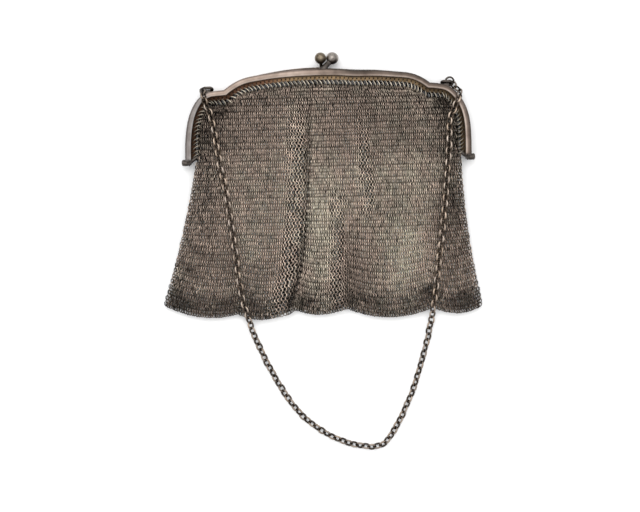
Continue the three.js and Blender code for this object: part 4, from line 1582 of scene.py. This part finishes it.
            # Painted shade in the creases.
            dark = dark + 0.45 * np.minimum(self.form.crease_dip(x, y), 1.0)
        dark = dark - 0.6 * np.maximum(dark - 0.5, 0.0) * smooth(y / 10.0)
        rng = np.random.default_rng(self.tone_seed + self.face.value)
        clouds = np.sin(0.31 * x + 1.7 * np.sin(0.13 * y)) * np.sin(0.27 * y + 1.3 * np.sin(0.17 * x + 0.6))
        uneven = 0.18 + 0.14 * smooth((u - 0.7) / 0.2) + 0.14 * smooth((v - 0.84) / 0.1)
        gain = 1.02 * (0.94 + 0.48 * pale - dark + 0.08 * clouds) * rng.normal(1.0, uneven)
        green = 0.36 + 0.8 * pale + 0.35 * np.sin(0.43 * x + 0.9 * np.sin(0.21 * y)) * np.sin(0.37 * y + 0.5)
        green = green - patches(x, y, self.brown_patches)
        return np.clip(gain, *self.gain_range), np.clip(green, 0.0, 1.0)

    def build(self, finishes: Finishes) -> None:
        """Builds the wall in strips from left to right and dresses them."""
        placed, wear, middle, shares, ring = self.placed()
        gain, drift = self.tone(middle, shares)
        strip = np.clip(((shares[:, 0] + 1.0) / 2.0 * self.strips).astype(int), 0, self.strips - 1)
        for k in range(self.strips):
            mine = strip == k
            piece = ring.copies(f"{self.face.key}_ring_mesh_{k + 1}", placed[mine])
            tone, tinge = (np.repeat(values[mine], len(ring.points)) for values in (gain, drift))
            set_values(piece, wear=wear[mine].ravel(), tone=tone, drift=tinge)
            self._map(piece, shares[mine], ring)
            nodes = ("mesh_pouch",) if self.face is Face.FRONT else ()
            finish_piece(piece, finishes.rings, Slot.MESH, *nodes)

    def _map(self, piece: bpy.types.Object, shares: np.ndarray, ring: Pattern) -> None:
        """Gives each ring its own small cell of the piece's map."""
        layer = piece.data.uv_layers.new(name="OFBake")
        spread = (shares - shares.min(axis=0)) / np.ptp(shares, axis=0)
        cell = np.array([0.5 * self.strips / self.columns, 0.7 / self.rows])
        turn = np.arctan2(ring.points[:, 1], ring.points[:, 0]) / math.pi
        rim = np.hypot(ring.points[:, 0], ring.points[:, 1]) - self.ring_radius
        local = np.column_stack([turn, (rim + ring.points[:, 2]) / (3.0 * self.wire)]) * cell / 2.0
        corners = spread[:, None, None, :] * (1.0 - 2.0 * cell) + cell + local[ring.faces][None]
        layer.data.foreach_set("uv", corners.astype(np.float32).ravel())


# Studio


@dataclass
class Studio:
    """A pale floor, soft light from overhead and beyond the clasp, and a camera straight above."""

    aim: Row = (-5.53, -48.77, 6.0)
    field_width: float = 332.8
    turn: float = -1.3
    distance: float = 1700.0
    sensor: float = 36.0
    clip: float = 20.0
    floor_size: float = 4.0
    floor_drop: float = 0.05
    paper: Row = (0.93, 0.93, 0.93, 1.0)
    sky: Row = (0.2, 1.75)
    sky_heights: Row = (0.05, 0.85)
    sky_axis: Row = (0.0, 0.26, 0.96)
    lamps: tuple[tuple[str, Row, float, float], ...] = (
        ("key", (-0.12, 0.6, 1.1), 0.6, 3.0),
    )

    def floor(self) -> None:
        """Lays the floor."""
        deselect()
        bpy.ops.mesh.primitive_plane_add(size=self.floor_size, location=(0.0, 0.0, -self.floor_drop * MM))
        floor = bpy.context.object
        settle(floor)
        floor.name = "floor"
        paper = bpy.data.materials.new("pale_paper")
        paper.use_nodes = True
        surface = paper.node_tree.nodes["Principled BSDF"]
        for key, value in (("Base Color", self.paper), ("Roughness", 0.9), ("Specular IOR Level", 0.1)):
            surface.inputs[key].default_value = value
        floor.data.materials.append(paper)

    def lights(self) -> None:
        """Sets a sky that is bright overhead and beyond the clasp, and a soft lamp."""
        world = bpy.data.worlds.new("studio")
        world.use_nodes = True
        bpy.context.scene.world = world
        nodes, links = world.node_tree.nodes, world.node_tree.links
        height = add_node(nodes, "VectorMath", {1: self.sky_axis}, operation="DOT_PRODUCT")
        ends = zip(("From Min", "From Max", "To Min", "To Max"), (*self.sky_heights, *self.sky))
        glow = add_node(nodes, "MapRange", dict(ends))
        links.new(add_node(nodes, "TexCoord").outputs["Generated"], height.inputs[0])
        links.new(height.outputs["Value"], glow.inputs["Value"])
        links.new(glow.outputs["Result"], nodes["Background"].inputs["Strength"])
        nodes["Background"].inputs["Color"].default_value = (1.0, 1.0, 1.0, 1.0)
        for name, place, size, power in self.lamps:
            lamp = bpy.data.lights.new(name, "AREA")
            lamp.size, lamp.energy = size, power
            light = bpy.data.objects.new(name, lamp)
            light.location = place
            light.rotation_euler = self._towards(place)
            bpy.context.scene.collection.objects.link(light)

    @staticmethod
    def _towards(place: Row) -> tuple[float, float, float]:
        """Returns the turn that points a lamp from its place to the origin."""
        flat = math.hypot(place[0], place[1])
        return (math.atan2(flat, place[2]), 0.0, math.atan2(place[0], -place[1]))

    def camera(self) -> None:
        """Hangs the camera over the purse."""
        lens = bpy.data.cameras.new("camera")
        lens.sensor_width = self.sensor
        lens.lens = self.sensor * self.distance / self.field_width
        lens.clip_end = self.clip
        camera = bpy.data.objects.new("camera", lens)
        camera.location = DATUM.metres(np.array(self.aim) + (0.0, 0.0, self.distance))
        camera.rotation_euler = (0.0, 0.0, math.radians(self.turn))
        bpy.context.scene.collection.objects.link(camera)
        bpy.context.scene.camera = camera

    def build(self) -> None:
        """Builds the studio."""
        self.camera()
        self.floor()
        self.lights()
        bpy.context.scene.view_settings.view_transform = "Standard"


def main() -> None:
    """Builds the studio, then the purse's sub-assemblies in order."""
    logging.basicConfig(level=logging.INFO, format="%(name)s %(message)s")
    finishes = Finishes()
    Studio().build()
    Chain().build(finishes)
    for face in Face:
        FrameHalf(face).build(finishes)
    for side in Side:
        HingePin(side).build(finishes)
        ChainFitting(side).build(finishes)
    RingMesh(Face.FRONT).build(finishes)
    RingMesh(Face.BACK, segments=7).build(finishes)


if __name__ == "__main__":
    main()
